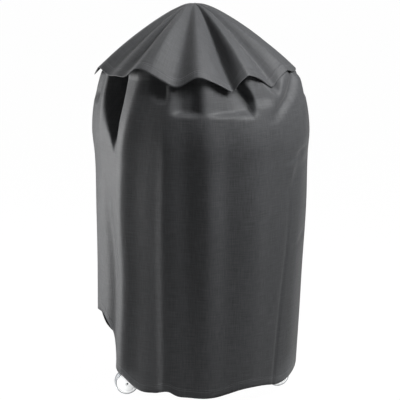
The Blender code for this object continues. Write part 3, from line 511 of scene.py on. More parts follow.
def enamel():
    """Vitreous enamel fired on steel: deep gloss with a faint orange-peel ripple 7 mm across."""
    made, tree, bsdf = finish_tree(
        "vitreous_enamel", Roughness=0.10, Coat_Weight=0.6, Coat_Roughness=0.04, IOR=1.55,
    )
    grained(tree, bsdf, 7.14 * MM, ("#0b0b0c", "#131315"), (0.2 * MM, 0.18), 1.0)
    return made


def powder_coat():
    """Powder coat baked on steel tube: satin black with the 1.6 mm dimples of melted powder."""
    made, tree, bsdf = finish_tree("powder_coat", Roughness=0.42)
    grained(tree, bsdf, 1.61 * MM, ("#171718", "#202022"), (0.2 * MM, 0.3))
    return made


def oiled_beech(name, along):
    """Oiled beech: brown grain lines and short flecks that run along the turned piece. Pores are
    too fine to show, so a line is drawn 2.4 mm wide, and it is 29 mm long."""
    made, tree, bsdf = finish_tree(name, Roughness=0.48, Coat_Weight=0.12, Coat_Roughness=0.3)
    stretch = [2.38 / 29.4 if axis == along else 1.0 for axis in range(3)]
    tones = ("#7a4a26", "#b07c48")
    grained(tree, bsdf, 2.38 * MM, tones, (0.2 * MM, 0.35), 5.0, stretch, (0.35, 0.68))
    return made


def clear_glass():
    """Flat pressed glass over the dial: clear, with a breath of green 17 mm across."""
    made, tree, bsdf = finish_tree("clear_glass", Roughness=0.03, Transmission_Weight=1.0, IOR=1.5)
    at = add_node(tree, "TexCoord").outputs["Object"]
    tint = add_node(tree, "TexNoise", {"Vector": at, "Scale": 1 / (16.7 * MM)}).outputs["Fac"]
    tree.links.new(ramp(tree, tint, "#eef5f4", "#f8fbfb"), bsdf.inputs["Base Color"])
    return made


FINISH = {}


def make_finishes(looks):
    """Fills the table of finishes, one for each material slot of the frame."""
    FINISH.update(
        cover_fabric=woven_polyester((looks.cloth_dark, looks.cloth_light)),
        enamel=enamel(),
        steel=metal("plated_steel", "#c9c9c6", 0.16),
        thermometer_steel=metal("brushed_steel", "#b9b9b6", 0.30, (6, 1, 1), 0.3),
        grip_wood=oiled_beech("oiled_beech", 0),
        side_wood=oiled_beech("oiled_beech_side", 1),
        leg_paint=powder_coat(),
        castor_housing=moulded_plastic("moulded_nylon", "#9a9da1", 0.42),
        castor_wheel=moulded_plastic("moulded_polypropylene", looks.wheel, 0.38),
        castor_tyre=moulded_plastic("soft_tread", "#8c8f93", 0.55),
        black_plastic=moulded_plastic("black_nylon", "#161617", 0.45),
        axle_steel=metal("blackened_steel", "#4a4c4f", 0.35),
        aluminium=metal("mill_aluminium", "#c4c5c6", 0.32, (1, 5, 1), 0.2),
        dial=moulded_plastic("printed_dial", "#e6e5de", 0.5),
        lens=clear_glass(),
    )


# Cover cloth

def cap_form(azimuth, share):
    """Height and radius of the cap: a cone with a rounded tip, z = top + c - hypot(slope * r, c),
    crowned by share ** 1.25 - share ** 4, whose ridges and valleys run out from the apex and grow
    as share ** 1.25 towards the edge."""
    azimuth, share = np.broadcast_arrays(azimuth, share)
    rounding = ((CAP_SLOPE * CAP_EDGE_R) ** 2 - CAP_FALL**2) / (2 * CAP_FALL)
    lift = 0.0
    for folds, fade in ((CAP_FOLDS, 1.0), (CAP_CREASES, 4 * share * (1 - share))):
        for centre, left, right, height, sharp in folds:
            off = around(azimuth, centre)
            width = np.where(off < 0, left, right)
            lift = lift + fade * height * np.exp(-np.abs(off / width) ** sharp)
    radius = CAP_EDGE_R * share * (1 + 0.30 * lift / CAP_EDGE_R)
    height = COVER_TOP_Z + rounding - np.hypot(CAP_SLOPE * CAP_EDGE_R * share, rounding)
    crown = CAP_CROWN * (share**1.25 - share**4)
    return radius, height + lift * share**1.25 + crown


# Folds of the cap: azimuth, width to the left and right in degrees, rise at the edge, sharpness
CAP_FOLDS = (
    (171, 20, 14, -0.016, 2.0), (197, 6, 7, 0.019, 2.0), (213, 5, 5, 0.006, 2.0),
    (230, 8, 11, 0.033, 2.0), (251, 6, 6, -0.012, 2.0), (263, 6, 8, 0.015, 1.8),
    (283, 8, 2.2, -0.026, 1.6), (291, 3.0, 9, 0.014, 1.7), (311, 9, 4.0, -0.026, 1.8),
    (323, 4, 7, 0.010, 1.8), (350, 14, 14, -0.004, 2.0),
    (8, 8, 8, -0.010, 2.0), (28, 10, 11, 0.016, 1.8),
    (50, 8, 8, -0.014, 2.0), (75, 11, 10, 0.020, 1.8), (98, 8, 8, -0.014, 2.0),
    (120, 10, 12, 0.018, 1.8), (142, 8, 8, -0.016, 2.0),
)


# Creases that fade out at the apex and at the edge, given the same way
CAP_CREASES = (
    (285, 10, 2.4, -0.030, 1.8), (222, 5, 6, -0.014, 1.9), (237, 3, 5, 0.010, 1.8),
    (204, 6, 5, -0.012, 1.9), (300, 5, 6, 0.010, 1.8), (314, 6, 4, -0.012, 1.8),
)


def cloth_shell(outer, maps, skip):
    """A closed cloth wall from its outer grid: the inner grid is every skip-th row moved in along
    the surface's normal by the cloth's thickness, in reverse order."""
    rows, columns = outer.shape[:2]
    along = np.gradient(outer, axis=0)
    across = np.roll(outer, -1, 1) - np.roll(outer, 1, 1)
    normal = np.cross(along, across)
    normal /= np.linalg.norm(normal, axis=2, keepdims=True) + 1e-12
    keep = np.unique(np.append(np.arange(0, rows, skip), rows - 1))[::-1]
    inner = (outer - normal * CLOTH_T)[keep]
    grid = np.concatenate([outer, inner])
    maps = {label: np.concatenate([uv, uv[keep]]).reshape(-1, 2) for label, uv in maps.items()}
    return grid.reshape(-1, 3), maps, len(grid), columns


def around_rear(azimuth):
    """How far round the cover from its rear seam, as a share of the whole turn."""
    return ((azimuth - FRONT - 180.0) % 360.0) / 360.0


def cover_cap():
    """The cap: cap_form over a grid of azimuth a and share, 0 at the apex and 1 at the edge, with
    x = r cos a and y = r sin a. Fans close the cloth at the apex, outside and inside."""
    azimuth = np.linspace(0, 360, TURNS, endpoint=False)
    share = np.linspace(0, 1, 64)[1:] ** 0.85
    azimuth, share = np.meshgrid(azimuth, share)
    radius, height = cap_form(azimuth, share)
    turn = np.radians(azimuth)
    outer = np.stack([radius * np.cos(turn), radius * np.sin(turn), height - SAG], -1)
    along = CLOTH_ROUND * around_rear(azimuth)
    maps = {
        "Cloth": np.stack([along, share * CAP_SLANT], -1),
        "Edge": np.stack([along, (1 - share) * CAP_SLANT], -1),
    }
    vertices, maps, rows, columns = cloth_shell(outer, maps, 3)
    faces = quads(rows, columns).tolist()
    faces += fan(0, len(vertices), columns, False).tolist()
    faces += fan((rows - 1) * columns, len(vertices) + 1, columns, True).tolist()
    tips = [(0, 0, COVER_TOP_Z - SAG), (0, 0, COVER_TOP_Z - SAG - CLOTH_T)]
    vertices = np.vstack([vertices, tips])
    for label, at in (("Cloth", (0, 0)), ("Edge", (0, CAP_SLANT))):
        maps[label] = np.vstack([maps[label], at, at])
    cap = new_piece("cover_cap_cloth", vertices, faces, FINISH["cover_fabric"], "cover", maps)
    stand_for("cover_cap")
    return cap


# The skirt's side and its hem: (height, radius) and (azimuth, height) knots
SKIRT_LINE = (
    (0.031, 0.2630), (0.200, 0.2665), (0.335, 0.2690), (0.500, 0.2755), (0.632, 0.2790),
    (0.690, 0.2835), (0.740, 0.2800), (0.790, 0.2705), (0.850, 0.2550),
)
HEM_LINE = (
    (0, 0.058), (20, 0.050), (50, 0.046), (75, 0.060), (90, 0.070), (105, 0.062), (125, 0.060),
    (150, 0.130), (166, 0.200), (180, 0.214), (196, 0.206), (200, 0.188), (202.6, 0.168),
    (205, 0.112), (210, 0.088), (215, 0.082), (218, 0.074), (221.5, 0.059), (225, 0.048),
    (237, 0.043), (246, 0.050), (250, 0.041), (257, 0.037), (272, 0.037), (290, 0.053),
    (303, 0.050), (312, 0.043), (328, 0.051), (337, 0.056), (348, 0.064), (360, 0.058),
)
# How far the skirt hangs to the right of the axis: (height, distance) knots
SKIRT_SHIFT = ((0.03, 0.004), (0.28, 0.013), (0.43, 0.017), (0.60, 0.017), (0.80, 0.014))
# Long folds of the skirt, as paths of (height, azimuth, width left, width right, depth)
SKIRT_FOLDS = (
    # the bright corner at the left, from under the cap to the hem
    (((0.03, 215, 8, 7, 0.015), (0.30, 218, 8, 7, 0.015), (0.60, 219, 8, 7, 0.014),
      (0.75, 224, 6, 7, 0.012), (0.85, 228, 6, 7, 0.008)), 1.7),
    # the valley behind it, and the panel that flares out at the rear left
    (((0.05, 203, 5, 5, -0.012), (0.30, 206, 5, 5, -0.012), (0.50, 203, 5, 5, -0.006),
      (0.58, 201, 5, 5, 0.0)), 2.0),
    (((0.15, 184, 12, 10, 0.006), (0.40, 184, 12, 10, 0.006), (0.60, 186, 12, 10, 0.0)), 2.0),
    # the deep recess under the cap's edge
    (((0.655, 213.6, 1.2, 1.2, 0.0), (0.69, 213.0, 2.4, 2.2, -0.010), (0.74, 211.5, 5, 3.6, -0.034),
      (0.80, 210, 6.5, 5.5, -0.052), (0.87, 210, 6.5, 5.5, -0.050)), 2.6),
    (((0.66, 199, 5, 5, 0.0), (0.76, 199, 5, 4.5, 0.006), (0.86, 200, 5, 4, 0.010)), 2.0),
    # the soft ridge down the front
    (((0.03, 243, 2.5, 6, 0.0022), (0.40, 243, 2.5, 6, 0.0016), (0.72, 245, 3, 6, 0.0012),
      (0.77, 245, 3, 6, 0.0)), 1.8),
    (((0.03, 238, 6, 3, -0.0016), (0.45, 238, 6, 3, -0.0012), (0.72, 240, 5, 3, 0.0)), 2.0),
    # broad soft waves across the front
    (((0.03, 257, 6, 5, -0.0022), (0.75, 256, 6, 5, -0.0026), (0.80, 256, 6, 5, 0.0)), 2.0),
    (((0.03, 267, 5, 6, 0.0026), (0.74, 268, 5, 6, 0.0030), (0.79, 268, 5, 6, 0.0)), 2.0),
    (((0.03, 277, 5, 6, -0.0018), (0.70, 278, 5, 6, -0.0022), (0.78, 278, 5, 6, 0.0)), 2.0),
    (((0.03, 292, 8, 7, 0.0030), (0.70, 293, 8, 7, 0.0034), (0.78, 293, 8, 7, 0.0)), 2.0),
    # the sewn pleat at the right
    (((0.03, 309.5, 1.6, 0.9, -0.0028), (0.24, 312.4, 1.6, 0.9, -0.0028),
      (0.40, 315.5, 1.6, 0.9, -0.0022), (0.60, 316.3, 1.6, 0.9, 0.0)), 1.6),
    # the corner at the right and the facets above it
    (((0.03, 322, 10, 10, 0.004), (0.50, 325, 10, 10, 0.006), (0.70, 330, 9, 9, 0.006),
      (0.84, 336, 5, 6, 0.008)), 1.8),
    (((0.735, 305, 4, 3, 0.0), (0.765, 310, 5, 4, -0.008), (0.80, 322, 6, 4, -0.012),
      (0.84, 331, 5, 3, -0.012)), 2.0),
    (((0.56, 315, 3, 2, 0.0), (0.62, 318, 6, 3, 0.005), (0.68, 322, 7, 5, 0.002),
      (0.74, 324, 6, 5, 0.0)), 1.8),
    # the black crease at the pocket's right end, steep on its right side only
    (((0.757, 291.5, 5, 0.7, 0.0), (0.775, 292.3, 6, 0.8, -0.016), (0.80, 293.0, 8, 0.8, -0.024),
      (0.84, 288.5, 8, 1.0, -0.022)), 1.6),
)
# Faint cross creases at the right: height, azimuth
CROSS_CREASES = ((0.655, 326), (0.640, 321), (0.618, 330), (0.430, 334), (0.415, 331))
# Pockets above the ridge round the shoulder: azimuth, half width, depth, lower edge, its softness
POCKETS = (
    (256.5, 6.6, 0.020, 0.764, 0.016), (281.0, 10.6, 0.020, 0.762, 0.014),
    (241.5, 4.2, 0.010, 0.792, 0.022), (300.0, 5.5, 0.008, 0.775, 0.030),
    (350.0, 9.0, 0.012, 0.770, 0.030), (12.0, 8.0, 0.016, 0.765, 0.025),
    (38.0, 10.0, 0.020, 0.760, 0.025), (70.0, 12.0, 0.018, 0.765, 0.025),
    (101.0, 9.0, 0.022, 0.760, 0.025), (127.0, 10.0, 0.018, 0.768, 0.025),
    (155.0, 9.0, 0.020, 0.760, 0.025), (180.0, 8.0, 0.014, 0.765, 0.025),
)


def skirt_radius(azimuth, height):
    """Radius of the skirt: its line down the side, plus shift * cos(angle from the right), less the
    pockets above the shoulder, plus the long folds, less the cross creases. It stays inside the
    cap's edge, blended in by smaller(), and outside the kettle."""
    shift = flow(height, SKIRT_SHIFT)
    radius = flow(height, SKIRT_LINE) + shift * np.cos(np.radians(azimuth - FRONT - 90))
    for centre, half, depth, low, soft in POCKETS:
        across = np.exp(-np.abs(around(azimuth, centre) / half) ** 3.2)
        radius = radius - depth * across * rise(height, low, low + soft)
    for path, sharp in SKIRT_FOLDS:
        radius = radius + fold(azimuth, height, path, sharp)
    for z, centre in CROSS_CREASES:
        off = around(azimuth, centre)
        line = np.exp(-((height - z - 0.0009 * off) / 0.006) ** 2)
        radius = radius - 0.003 * line * np.exp(-((off / 6.5) ** 2))
    edge_r, edge_z = cap_form(azimuth, 1.0)
    below = edge_z - height
    under_cap = edge_r - CAP_GAP + np.where(below > 0, 1.5 * below, 1.15 * below / CAP_SLOPE)
    radius = smaller(radius, under_cap, CAP_GAP)
    return np.maximum(radius, kettle_radius(height - SAG) + KETTLE_GAP)


def cover_skirt():
    """The skirt: height = top + share (hem - top) over a grid of azimuth a and share, at the radius
    r that skirt_radius gives, with x = r cos a and y = r sin a. The rows lie closer above the
    shoulder, where the folds are, and the wall closes on itself at its top and at its hem."""
    azimuth = np.linspace(0, 360, TURNS, endpoint=False)
    top = cap_form(azimuth, 1.0)[1] + TUCK
    hem = flow(azimuth, HEM_LINE)
    share = np.concatenate([np.linspace(0, 0.29, 62, endpoint=False), np.linspace(0.29, 1, 66)])
    height = top[None] + (hem - top)[None] * share[:, None]
    azimuth = np.broadcast_to(azimuth, height.shape)
    radius = skirt_radius(azimuth, height)
    turn = np.radians(azimuth)
    outer = np.stack([radius * np.cos(turn), radius * np.sin(turn), height - SAG], -1)
    along = CLOTH_ROUND * around_rear(azimuth)
    maps = {
        "Cloth": np.stack([along, height], -1),
        "Edge": np.stack([along, height - hem], -1),
    }
    vertices, maps, rows, columns = cloth_shell(outer, maps, 2)
    faces = quads(rows, columns, True).tolist()
    skirt = new_piece("cover_skirt_cloth", vertices, faces, FINISH["cover_fabric"], "cover", maps)
    stand_for("cover_skirt")
    return skirt


# Kettle

def ellipse(radius, height, base_z, start, end, count):
    """Points (radius, height) on an ellipse about the axis, between two angles from the rim."""
    angle = np.radians(np.linspace(start, end, count))
    return list(zip(radius * np.cos(angle), base_z + height * np.sin(angle)))


def dome_frame(tilt, azimuth):
    """Where a fitting sits on the dome, with local Z along the dome's normal."""
    a, turn = math.radians(tilt), math.radians(azimuth)
    radius, height = KETTLE_R * math.cos(a), DOME_BASE_Z + DOME_HEIGHT * math.sin(a)
    slope = math.atan2(math.sin(a) / DOME_HEIGHT, math.cos(a) / KETTLE_R)
    return (
        Matrix.Translation((radius * math.cos(turn), radius * math.sin(turn), height))
        @ Matrix.Rotation(turn, 4, "Z")
        @ Matrix.Rotation(math.pi / 2 - slope, 4, "Y")
    )


# Lip of the lid, which covers the bowl's rim: (radius, height above the rim)
LID_LIP = (
    (0.2312, 0.0003), (0.2312, -0.0056), (0.2316, -0.0060), (0.2324, -0.0060),
    (0.2328, -0.0056), (0.2328, 0.0022), (0.2320, 0.0034), (0.2272, 0.0046), (0.2254, 0.0058),
)
VENT = (52.0, 40.0)       # tilt up the dome and azimuth
VENT_RING_R = 0.020
VENT_HOLE_R = 0.0075
RIVET_HOLE_R = 0.0028
VENT_SEAT = (
    (0.0032, -0.0020), (0.0340, -0.0020), (0.0340, 0.0004), (0.0334, 0.0009), (0.0032, 0.0010),
)
PROBE = (50.0, -90.0)     # tilt up the dome and azimuth of the thermometer
PROBE_HOLE_R = 0.0032


def lid_dome():
    """Dome with its lip, four vent holes, the rivet's and the probe's hole, and the vent's seat."""
    inner_r, inner_h = KETTLE_R - WALL, DOME_HEIGHT - WALL
    profile = [(0, DOME_BASE_Z + inner_h), *ellipse(inner_r, inner_h, DOME_BASE_Z, 89, 0, 40)]
    profile.append((inner_r, RIM_Z + LID_LIP[0][1]))
    profile += [(radius, RIM_Z + above) for radius, above in LID_LIP]
    profile += ellipse(KETTLE_R, DOME_HEIGHT, DOME_BASE_Z, 0, 89, 44)
    profile.append((0, DOME_BASE_Z + DOME_HEIGHT))
    dome = turned("lid_shell_fine", profile, FINISH["enamel"], "lid", steps=144)
    vents = ring_of_holes(4, VENT_RING_R, VENT_HOLE_R)
    drill(dome, [*vents, (0, 0, RIVET_HOLE_R)], dome_frame(*VENT))
    drill(dome, [(0, 0, PROBE_HOLE_R)], dome_frame(*PROBE))
    stand_for("lid_shell")
    seat = turned("vent_seat", VENT_SEAT, FINISH["enamel"], "lid", dome_frame(*VENT))
    drill(seat, vents, dome_frame(*VENT))


def lid():
    """The dome, the U handle on its top, its heat shield, the thermometer and the vent disc. The
    handle's feet end at the dome's inside, where z = base + height * sqrt(1 - (x / r) ** 2)."""
    lid_dome()
    up = math.sqrt(1 - (HANDLE_HALF / KETTLE_R) ** 2)
    foot = DOME_BASE_Z + DOME_HEIGHT * up - WALL
    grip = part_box("lid_handle_grip")
    top = (grip[0].z + grip[1].z) / 2
    path = [(x, 0, z) for x, z in u_path(HANDLE_HALF, foot, top, HANDLE_BEND)]
    name = "lid_handle_bracket"
    rod = wire(f"{name}_fine", path, (0, 1, 0), HANDLE_ROD_R, FINISH["steel"], "lid")
    stand_for(name)
    handle_grip("lid_handle_grip", "Y", FINISH["grip_wood"])
    merged_copy("lid_heat_shield", FINISH["steel"], 0.0003)
    merged_copy("thermometer_case", FINISH["thermometer_steel"], 0.0004)
    merged_copy("thermometer_dial", FINISH["dial"])
    merged_copy("thermometer_lens", FINISH["lens"])
    merged_copy("lid_vent_disc", FINISH["aluminium"], 0.0002)
    merged_copy("lid_vent_rivet", FINISH["steel"])


def handle_grip(node, turn_about, finish):
    """Turned grip: r = end + belly cos(pi t / 2) for t from -1 to 1 along it, less a rounding that
    grows as the square over its last tenth, with a bore for the rod."""
    end, belly, rounding, bore = 0.0078, 0.0016, 0.0026, 0.0047
    low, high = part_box(node)
    centre = (low + high) / 2
    half = max(high - low) / 2
    along = np.linspace(-1, 1, 25)
    radius = end + belly * np.cos(along * math.pi / 2)
    radius -= rounding * np.clip((np.abs(along) - 0.90) / 0.10, 0, 1) ** 2
    outside = list(zip(radius, along * (half - 0.0004)))
    profile = [(bore, -half), *outside, (bore, half)]
    place = Matrix.Translation(centre) @ Matrix.Rotation(math.pi / 2, 4, turn_about)
    grip = turned(f"{node}_fine", profile, finish, BODY_OF[node], place, 48)
    stand_for(node)


BOWL_FLOOR_R = 0.070
SHAFT_HOLE_R = 0.0044
AIR_RING_R = 0.042
AIR_HOLE_R = 0.012
RIM_ROLL_R = 0.0025


def bowl_shell():
    """Bowl turned from an ellipse cut off by its flat floor, with a rolled rim and air holes."""
    inner_r, inner_d = KETTLE_R - WALL, BOWL_DEPTH - WALL
    end = math.degrees(math.acos(BOWL_FLOOR_R / KETTLE_R))
    floor_z = RIM_Z - BOWL_DEPTH * math.sin(math.radians(end))
    end_in = math.degrees(math.asin((RIM_Z - floor_z - WALL) / inner_d))
    profile = [(SHAFT_HOLE_R, floor_z)]
    profile += ellipse(KETTLE_R, -BOWL_DEPTH, RIM_Z, end, 2, 40)
    angle = np.radians(np.linspace(-150, 170, 14))
    roll_r = KETTLE_R + RIM_ROLL_R * (1 + np.cos(angle))
    profile += list(zip(roll_r, RIM_Z + RIM_ROLL_R * (np.sin(angle) - 1)))
    profile += ellipse(inner_r, -inner_d, RIM_Z, 1, end_in, 40)
    profile.append((SHAFT_HOLE_R, floor_z + WALL))
    shell = turned("bowl_shell_fine", profile, FINISH["enamel"], "root", steps=144)
    holes = ring_of_holes(3, AIR_RING_R, AIR_HOLE_R)
    drill(shell, holes, Matrix.Translation((0, 0, floor_z)))
    stand_for("bowl_shell")


def bowl():
    """The bowl, and on each side a U handle whose feet reach through its wall."""
    bowl_shell()
    for side, sign in (("left", -1), ("right", 1)):
        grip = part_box(f"bowl_handle_{side}_grip")
        centre = (grip[0] + grip[1]) / 2
        foot = float(kettle_radius(np.array(centre.z))) - 2 * WALL
        bend = u_path(HANDLE_HALF, foot, abs(centre.x), HANDLE_BEND)
        path = [(sign * x, y, centre.z) for y, x in bend]
        name = f"bowl_handle_{side}_bracket"
        rod = wire(f"{name}_fine", path, (0, 0, 1), HANDLE_ROD_R, FINISH["steel"], "root")
        stand_for(name)
        handle_grip(f"bowl_handle_{side}_grip", "X", FINISH["side_wood"])
    for number in (1, 2, 3):
        merged_copy(f"grate_tab_{number}", FINISH["enamel"], 0.0003)


def grates():
    """Welded wire grates, plated, whose six-sided bars are shaded round."""
    merged_copy("cooking_grate", FINISH["steel"], angle=75.0)
    for number in (1, 2):
        merged_copy(f"cooking_grate_handle_{number}", FINISH["steel"], angle=75.0)
    merged_copy("charcoal_grate", FINISH["steel"], angle=75.0)


PAN_FLOOR_R = 0.0692
PAN_BEND_R = 0.0110
PAN_WALL = 0.0013
PAN_DEPTH = 0.0580
# Side of the pan above its bend, up the outside and down the inside: (radius, height)
PAN_SIDE = (
    (0.0874, 0.0240), (0.0874, 0.0572), (0.0871, 0.0580), (0.0862, 0.0580), (0.0859, 0.0572),
    (0.0859, 0.0245),
)


def ash_pan():
    """Ash pan turned from a flat floor, a quarter bend and a side that leans out to its lip."""
    bend = [math.radians(a) for a in (0, 22, 45, 68, 90)]
    outer = [
        (PAN_FLOOR_R + PAN_BEND_R * math.sin(a), PAN_BEND_R * (1 - math.cos(a))) for a in bend
    ]
    inner = [(r - PAN_WALL, z + PAN_WALL) for r, z in outer]
    profile = [(0, 0), *outer, *PAN_SIDE, *reversed(inner), (0, WALL)]
    place = Matrix.Translation((0, 0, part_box("ash_pan")[1].z - PAN_DEPTH))
    pan = turned("ash_pan_fine", profile, FINISH["aluminium"], "ash_pan", place, 120)
    stand_for("ash_pan")
    merged_copy("ash_pan_handle", FINISH["steel"], angle=75.0)


def ash_gear():
    """Damper, its lever and knob, the collar, and the pressed ash pan with its wire handle."""
    merged_copy("damper_blades", FINISH["aluminium"], 0.0002)
    merged_copy("damper_shaft", FINISH["steel"], 0.0003)
    merged_copy("damper_lever", FINISH["steel"], 0.0003)
    merged_copy("damper_knob", FINISH["black_plastic"], 0.0006)
    merged_copy("ash_collar", FINISH["leg_paint"], 0.0003)
    ash_pan()


def stand():
    """Tube legs in their sockets, the plugs in their feet, the castors' stems and the shelf."""
    for side in SIDES:
        merged_copy(f"leg_{side}", FINISH["leg_paint"])
        merged_copy(f"leg_socket_{side}", FINISH["enamel"], 0.0003)
        merged_copy(f"leg_plug_{side}", FINISH["black_plastic"], 0.0004)
        merged_copy(f"castor_{side}_stem", FINISH["steel"], 0.0003)
    merged_copy("lower_shelf", FINISH["leg_paint"], 0.0003)


# Castors

# Profiles (radius, distance along the axle) of a wheel and of the axle
WHEEL_DISC = (
    (0.0276, 0.0068), (0.0276, 0.0142), (0.0268, 0.0158), (0.0252, 0.0164), (0.0246, 0.0160),
    (0.0240, 0.0152), (0.0226, 0.0154), (0.0212, 0.0172), (0.0190, 0.0186), (0.0130, 0.0198),
    (0.0096, 0.0202), (0.0090, 0.0209), (0.0082, 0.0213), (0.0060, 0.0214), (0.0052, 0.0211),
    (0.0048, 0.0203), (0.0027, 0.0203), (0.0027, 0.0068),
)
WHEEL_TREAD = (
    (0.0277, 0.0064), (0.0288, 0.0062), (0.0297, 0.0068), (0.02975, 0.0076), (0.02975, 0.0128),
    (0.0297, 0.0136), (0.0290, 0.0146), (0.0277, 0.0150),
)
AXLE = (
    (0, -0.0214), (0.0018, -0.0214), (0.0023, -0.0209), (0.0023, 0.0209), (0.0018, 0.0214),
    (0, 0.0214),
)


def castor(side):
    """Housing, axle and two wheels. Each wheel is a moulded disc, stepped and domed on its outer
    face, with a thin soft tread round it."""
    merged_copy(f"castor_{side}_housing", FINISH["castor_housing"], 0.0005)
    wheels = [f"castor_{side}_wheel_{number}" for number in (1, 2)]
    hub = Vector(JOINTS[f"{wheels[0]}_spin"]["pos_m"])
    for node in wheels:
        low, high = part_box(node)
        outward = (low + high) / 2 - hub
        outward.z = 0.0
        place = Matrix.Translation(hub) @ outward.to_track_quat("Z", "Y").to_matrix().to_4x4()
        disc = turned(f"{node}_disc", WHEEL_DISC, FINISH["castor_wheel"], node, place)
        stand_for(node)
        tread = turned(f"{node}_tread", WHEEL_TREAD, FINISH["castor_tyre"], node, place)
    name = f"castor_{side}_axle"
    rod = turned(f"{name}_fine", AXLE, FINISH["axle_steel"], f"castor_{side}", place, 32)
    stand_for(name)


# Operators

class CoverSettings(bpy.types.PropertyGroup):
    """Colours of the cloth and the wheels."""

    cloth_dark: StringProperty(
        name="Thread dark", description="sRGB hex of the darker threads", default="#333436"
    )
    cloth_light: StringProperty(
        name="Thread light", description="sRGB hex of the lighter threads", default="#4a4b4d"
    )
    wheel: StringProperty(
        name="Wheel", description="sRGB hex of the castor wheels", default="#eceded"
    )


class StageSettings(bpy.types.PropertyGroup):
    """Camera and lights."""

    distance: FloatProperty(
        name="Camera distance", description="From the grill's axis", default=4.9, unit="LENGTH"
    )
    camera_height: FloatProperty(
        name="Camera height", description="Above the floor", default=1.59, unit="LENGTH"
    )
    lens: FloatProperty(
        name="Lens", description="Focal length", default=171.6, unit="CAMERA"
    )
    key: FloatProperty(
        name="Key light", description="Power of the light at the left", default=58.0, unit="POWER"
    )
    fill: FloatProperty(
        name="Side light", description="Power of the light at the right", default=42.0,
        unit="POWER",
    )


class GRILL_OT_finishes(bpy.types.Operator):
    """Makes the finishes and gives them to the CAD pieces"""

    bl_idname = "grill.finishes"
    bl_label = "Finishes"

    def execute(self, context):
        make_finishes(context.scene.grill_cover)
        for name, node in NODES.items():
            node.data.materials.clear()
            node.data.materials.append(FINISH[SLOT_OF[name]])
        return {"FINISHED"}


class GRILL_OT_cover(bpy.types.Operator):
    """Makes the cover's cap and skirt"""

    bl_idname = "grill.cover"
    bl_label = "Cover"

    def execute(self, context):
        cap, skirt = cover_cap(), cover_skirt()
        return {"FINISHED"}


class GRILL_OT_lid(bpy.types.Operator):
    """Makes the lid with its handle, thermometer and vent"""

    bl_idname = "grill.lid"
    bl_label = "Lid"

    def execute(self, context):
        lid()
        return {"FINISHED"}


class GRILL_OT_bowl(bpy.types.Operator):
    """Makes the bowl with its side handles and grate tabs"""

    bl_idname = "grill.bowl"
    bl_label = "Bowl"

    def execute(self, context):
        bowl()
        return {"FINISHED"}


class GRILL_OT_grates(bpy.types.Operator):
    """Makes the cooking grate and the charcoal grate"""

    bl_idname = "grill.grates"
    bl_label = "Grates"

    def execute(self, context):
        grates()
        return {"FINISHED"}


class GRILL_OT_ash_gear(bpy.types.Operator):
    """Makes the damper, its collar and the ash pan"""

    bl_idname = "grill.ash_gear"
    bl_label = "Damper and ash pan"

    def execute(self, context):
        ash_gear()
        return {"FINISHED"}


class GRILL_OT_stand(bpy.types.Operator):
    """Makes the legs and the shelf"""

    bl_idname = "grill.stand"
    bl_label = "Stand"

    def execute(self, context):
        stand()
        return {"FINISHED"}


class GRILL_OT_castors(bpy.types.Operator):
    """Makes the three castors"""

    bl_idname = "grill.castors"
    bl_label = "Castors"

    def execute(self, context):
        for side in SIDES:
            castor(side)
        return {"FINISHED"}


def seen_from(angle, distance, height):
    """A place round the axis: angle 0 is in front of the camera's side, positive to the right."""
    turn = math.radians(FRONT + angle)
    return (distance * math.cos(turn), distance * math.sin(turn), height)


def area_light(name, power, size, place, aim, spread=180.0):
    """A rectangular light at a place, aimed at a point."""
    data = bpy.data.lights.new(name, "AREA")
    data.energy = power
    data.shape = "RECTANGLE"
    data.size, data.size_y = size
    data.spread = math.radians(spread)
    lamp = in_scene(name, data)
    lamp.location = place
    lamp.rotation_euler = (Vector(aim) - Vector(place)).to_track_quat("-Z", "Y").to_euler()


def white_floor():
    """A round floor of white paper, which the camera sees evenly bright."""
    made, tree, bsdf = finish_tree("white_paper", Base_Color=colour("#b8b8b8"), Roughness=1.0)
    seen = add_node(tree, "LightPath").outputs["Is Camera Ray"]
    white = add_node(tree, "Emission", {"Strength": 1.05})
    share = add_node(tree, "Math", {0: seen, 1: 0.94}, operation="MULTIPLY").outputs[0]
    both = add_node(tree, "MixShader", {0: share, 1: bsdf.outputs[0], 2: white.outputs[0]})
    tree.links.new(both.outputs[0], tree.nodes["Material Output"].inputs["Surface"])
    turn = np.radians(np.linspace(0, 360, 96, endpoint=False))
    edge = [(40 * math.cos(a), 40 * math.sin(a), 0.0) for a in turn]
    data = bpy.data.meshes.new("floor")
    data.from_pydata(edge, [], [list(range(len(edge)))])
    data.materials.append(made)
    in_scene("floor", data)


def studio_lights(stage):
    """A key light low at the left, a side light high at the right, a weak one from behind the top,
    and a small narrow one at each front castor."""
    area_light("key", stage.key, (0.6, 1.0), seen_from(-101, 2.1, 0.45), (0, 0, 0.45))
    area_light("side", stage.fill, (0.7, 0.7), seen_from(58, 1.15, 1.85), (0, 0, 0.82))
    area_light("top", 5.0, (1.0, 1.0), seen_from(-170, 0.9, 2.6), (0, 0, 0.9))
    for angle, power in ((-54, 0.036), (71, 0.028)):
        place, aim = seen_from(angle * 0.6, 0.8, 0.02), seen_from(angle, 0.245, 0.022)
        area_light("castor", power, (0.06, 0.02), place, aim, 17.0)


def studio_world():
    """White to the camera, and a dim grey fill to everything else."""
    world = bpy.data.worlds.new("studio")
    world.use_nodes = True
    sky = world.node_tree
    sky.nodes["Background"].inputs["Color"].default_value = (1, 1, 1, 1)
    seen = add_node(sky, "LightPath").outputs["Is Camera Ray"]
    strength = add_node(sky, "MapRange", {"Value": seen, "To Min": 0.12, "To Max": 1.0})
    sky.links.new(strength.outputs["Result"], sky.nodes["Background"].inputs["Strength"])
    bpy.context.scene.world = world
    bpy.context.scene.view_settings.view_transform = "Standard"


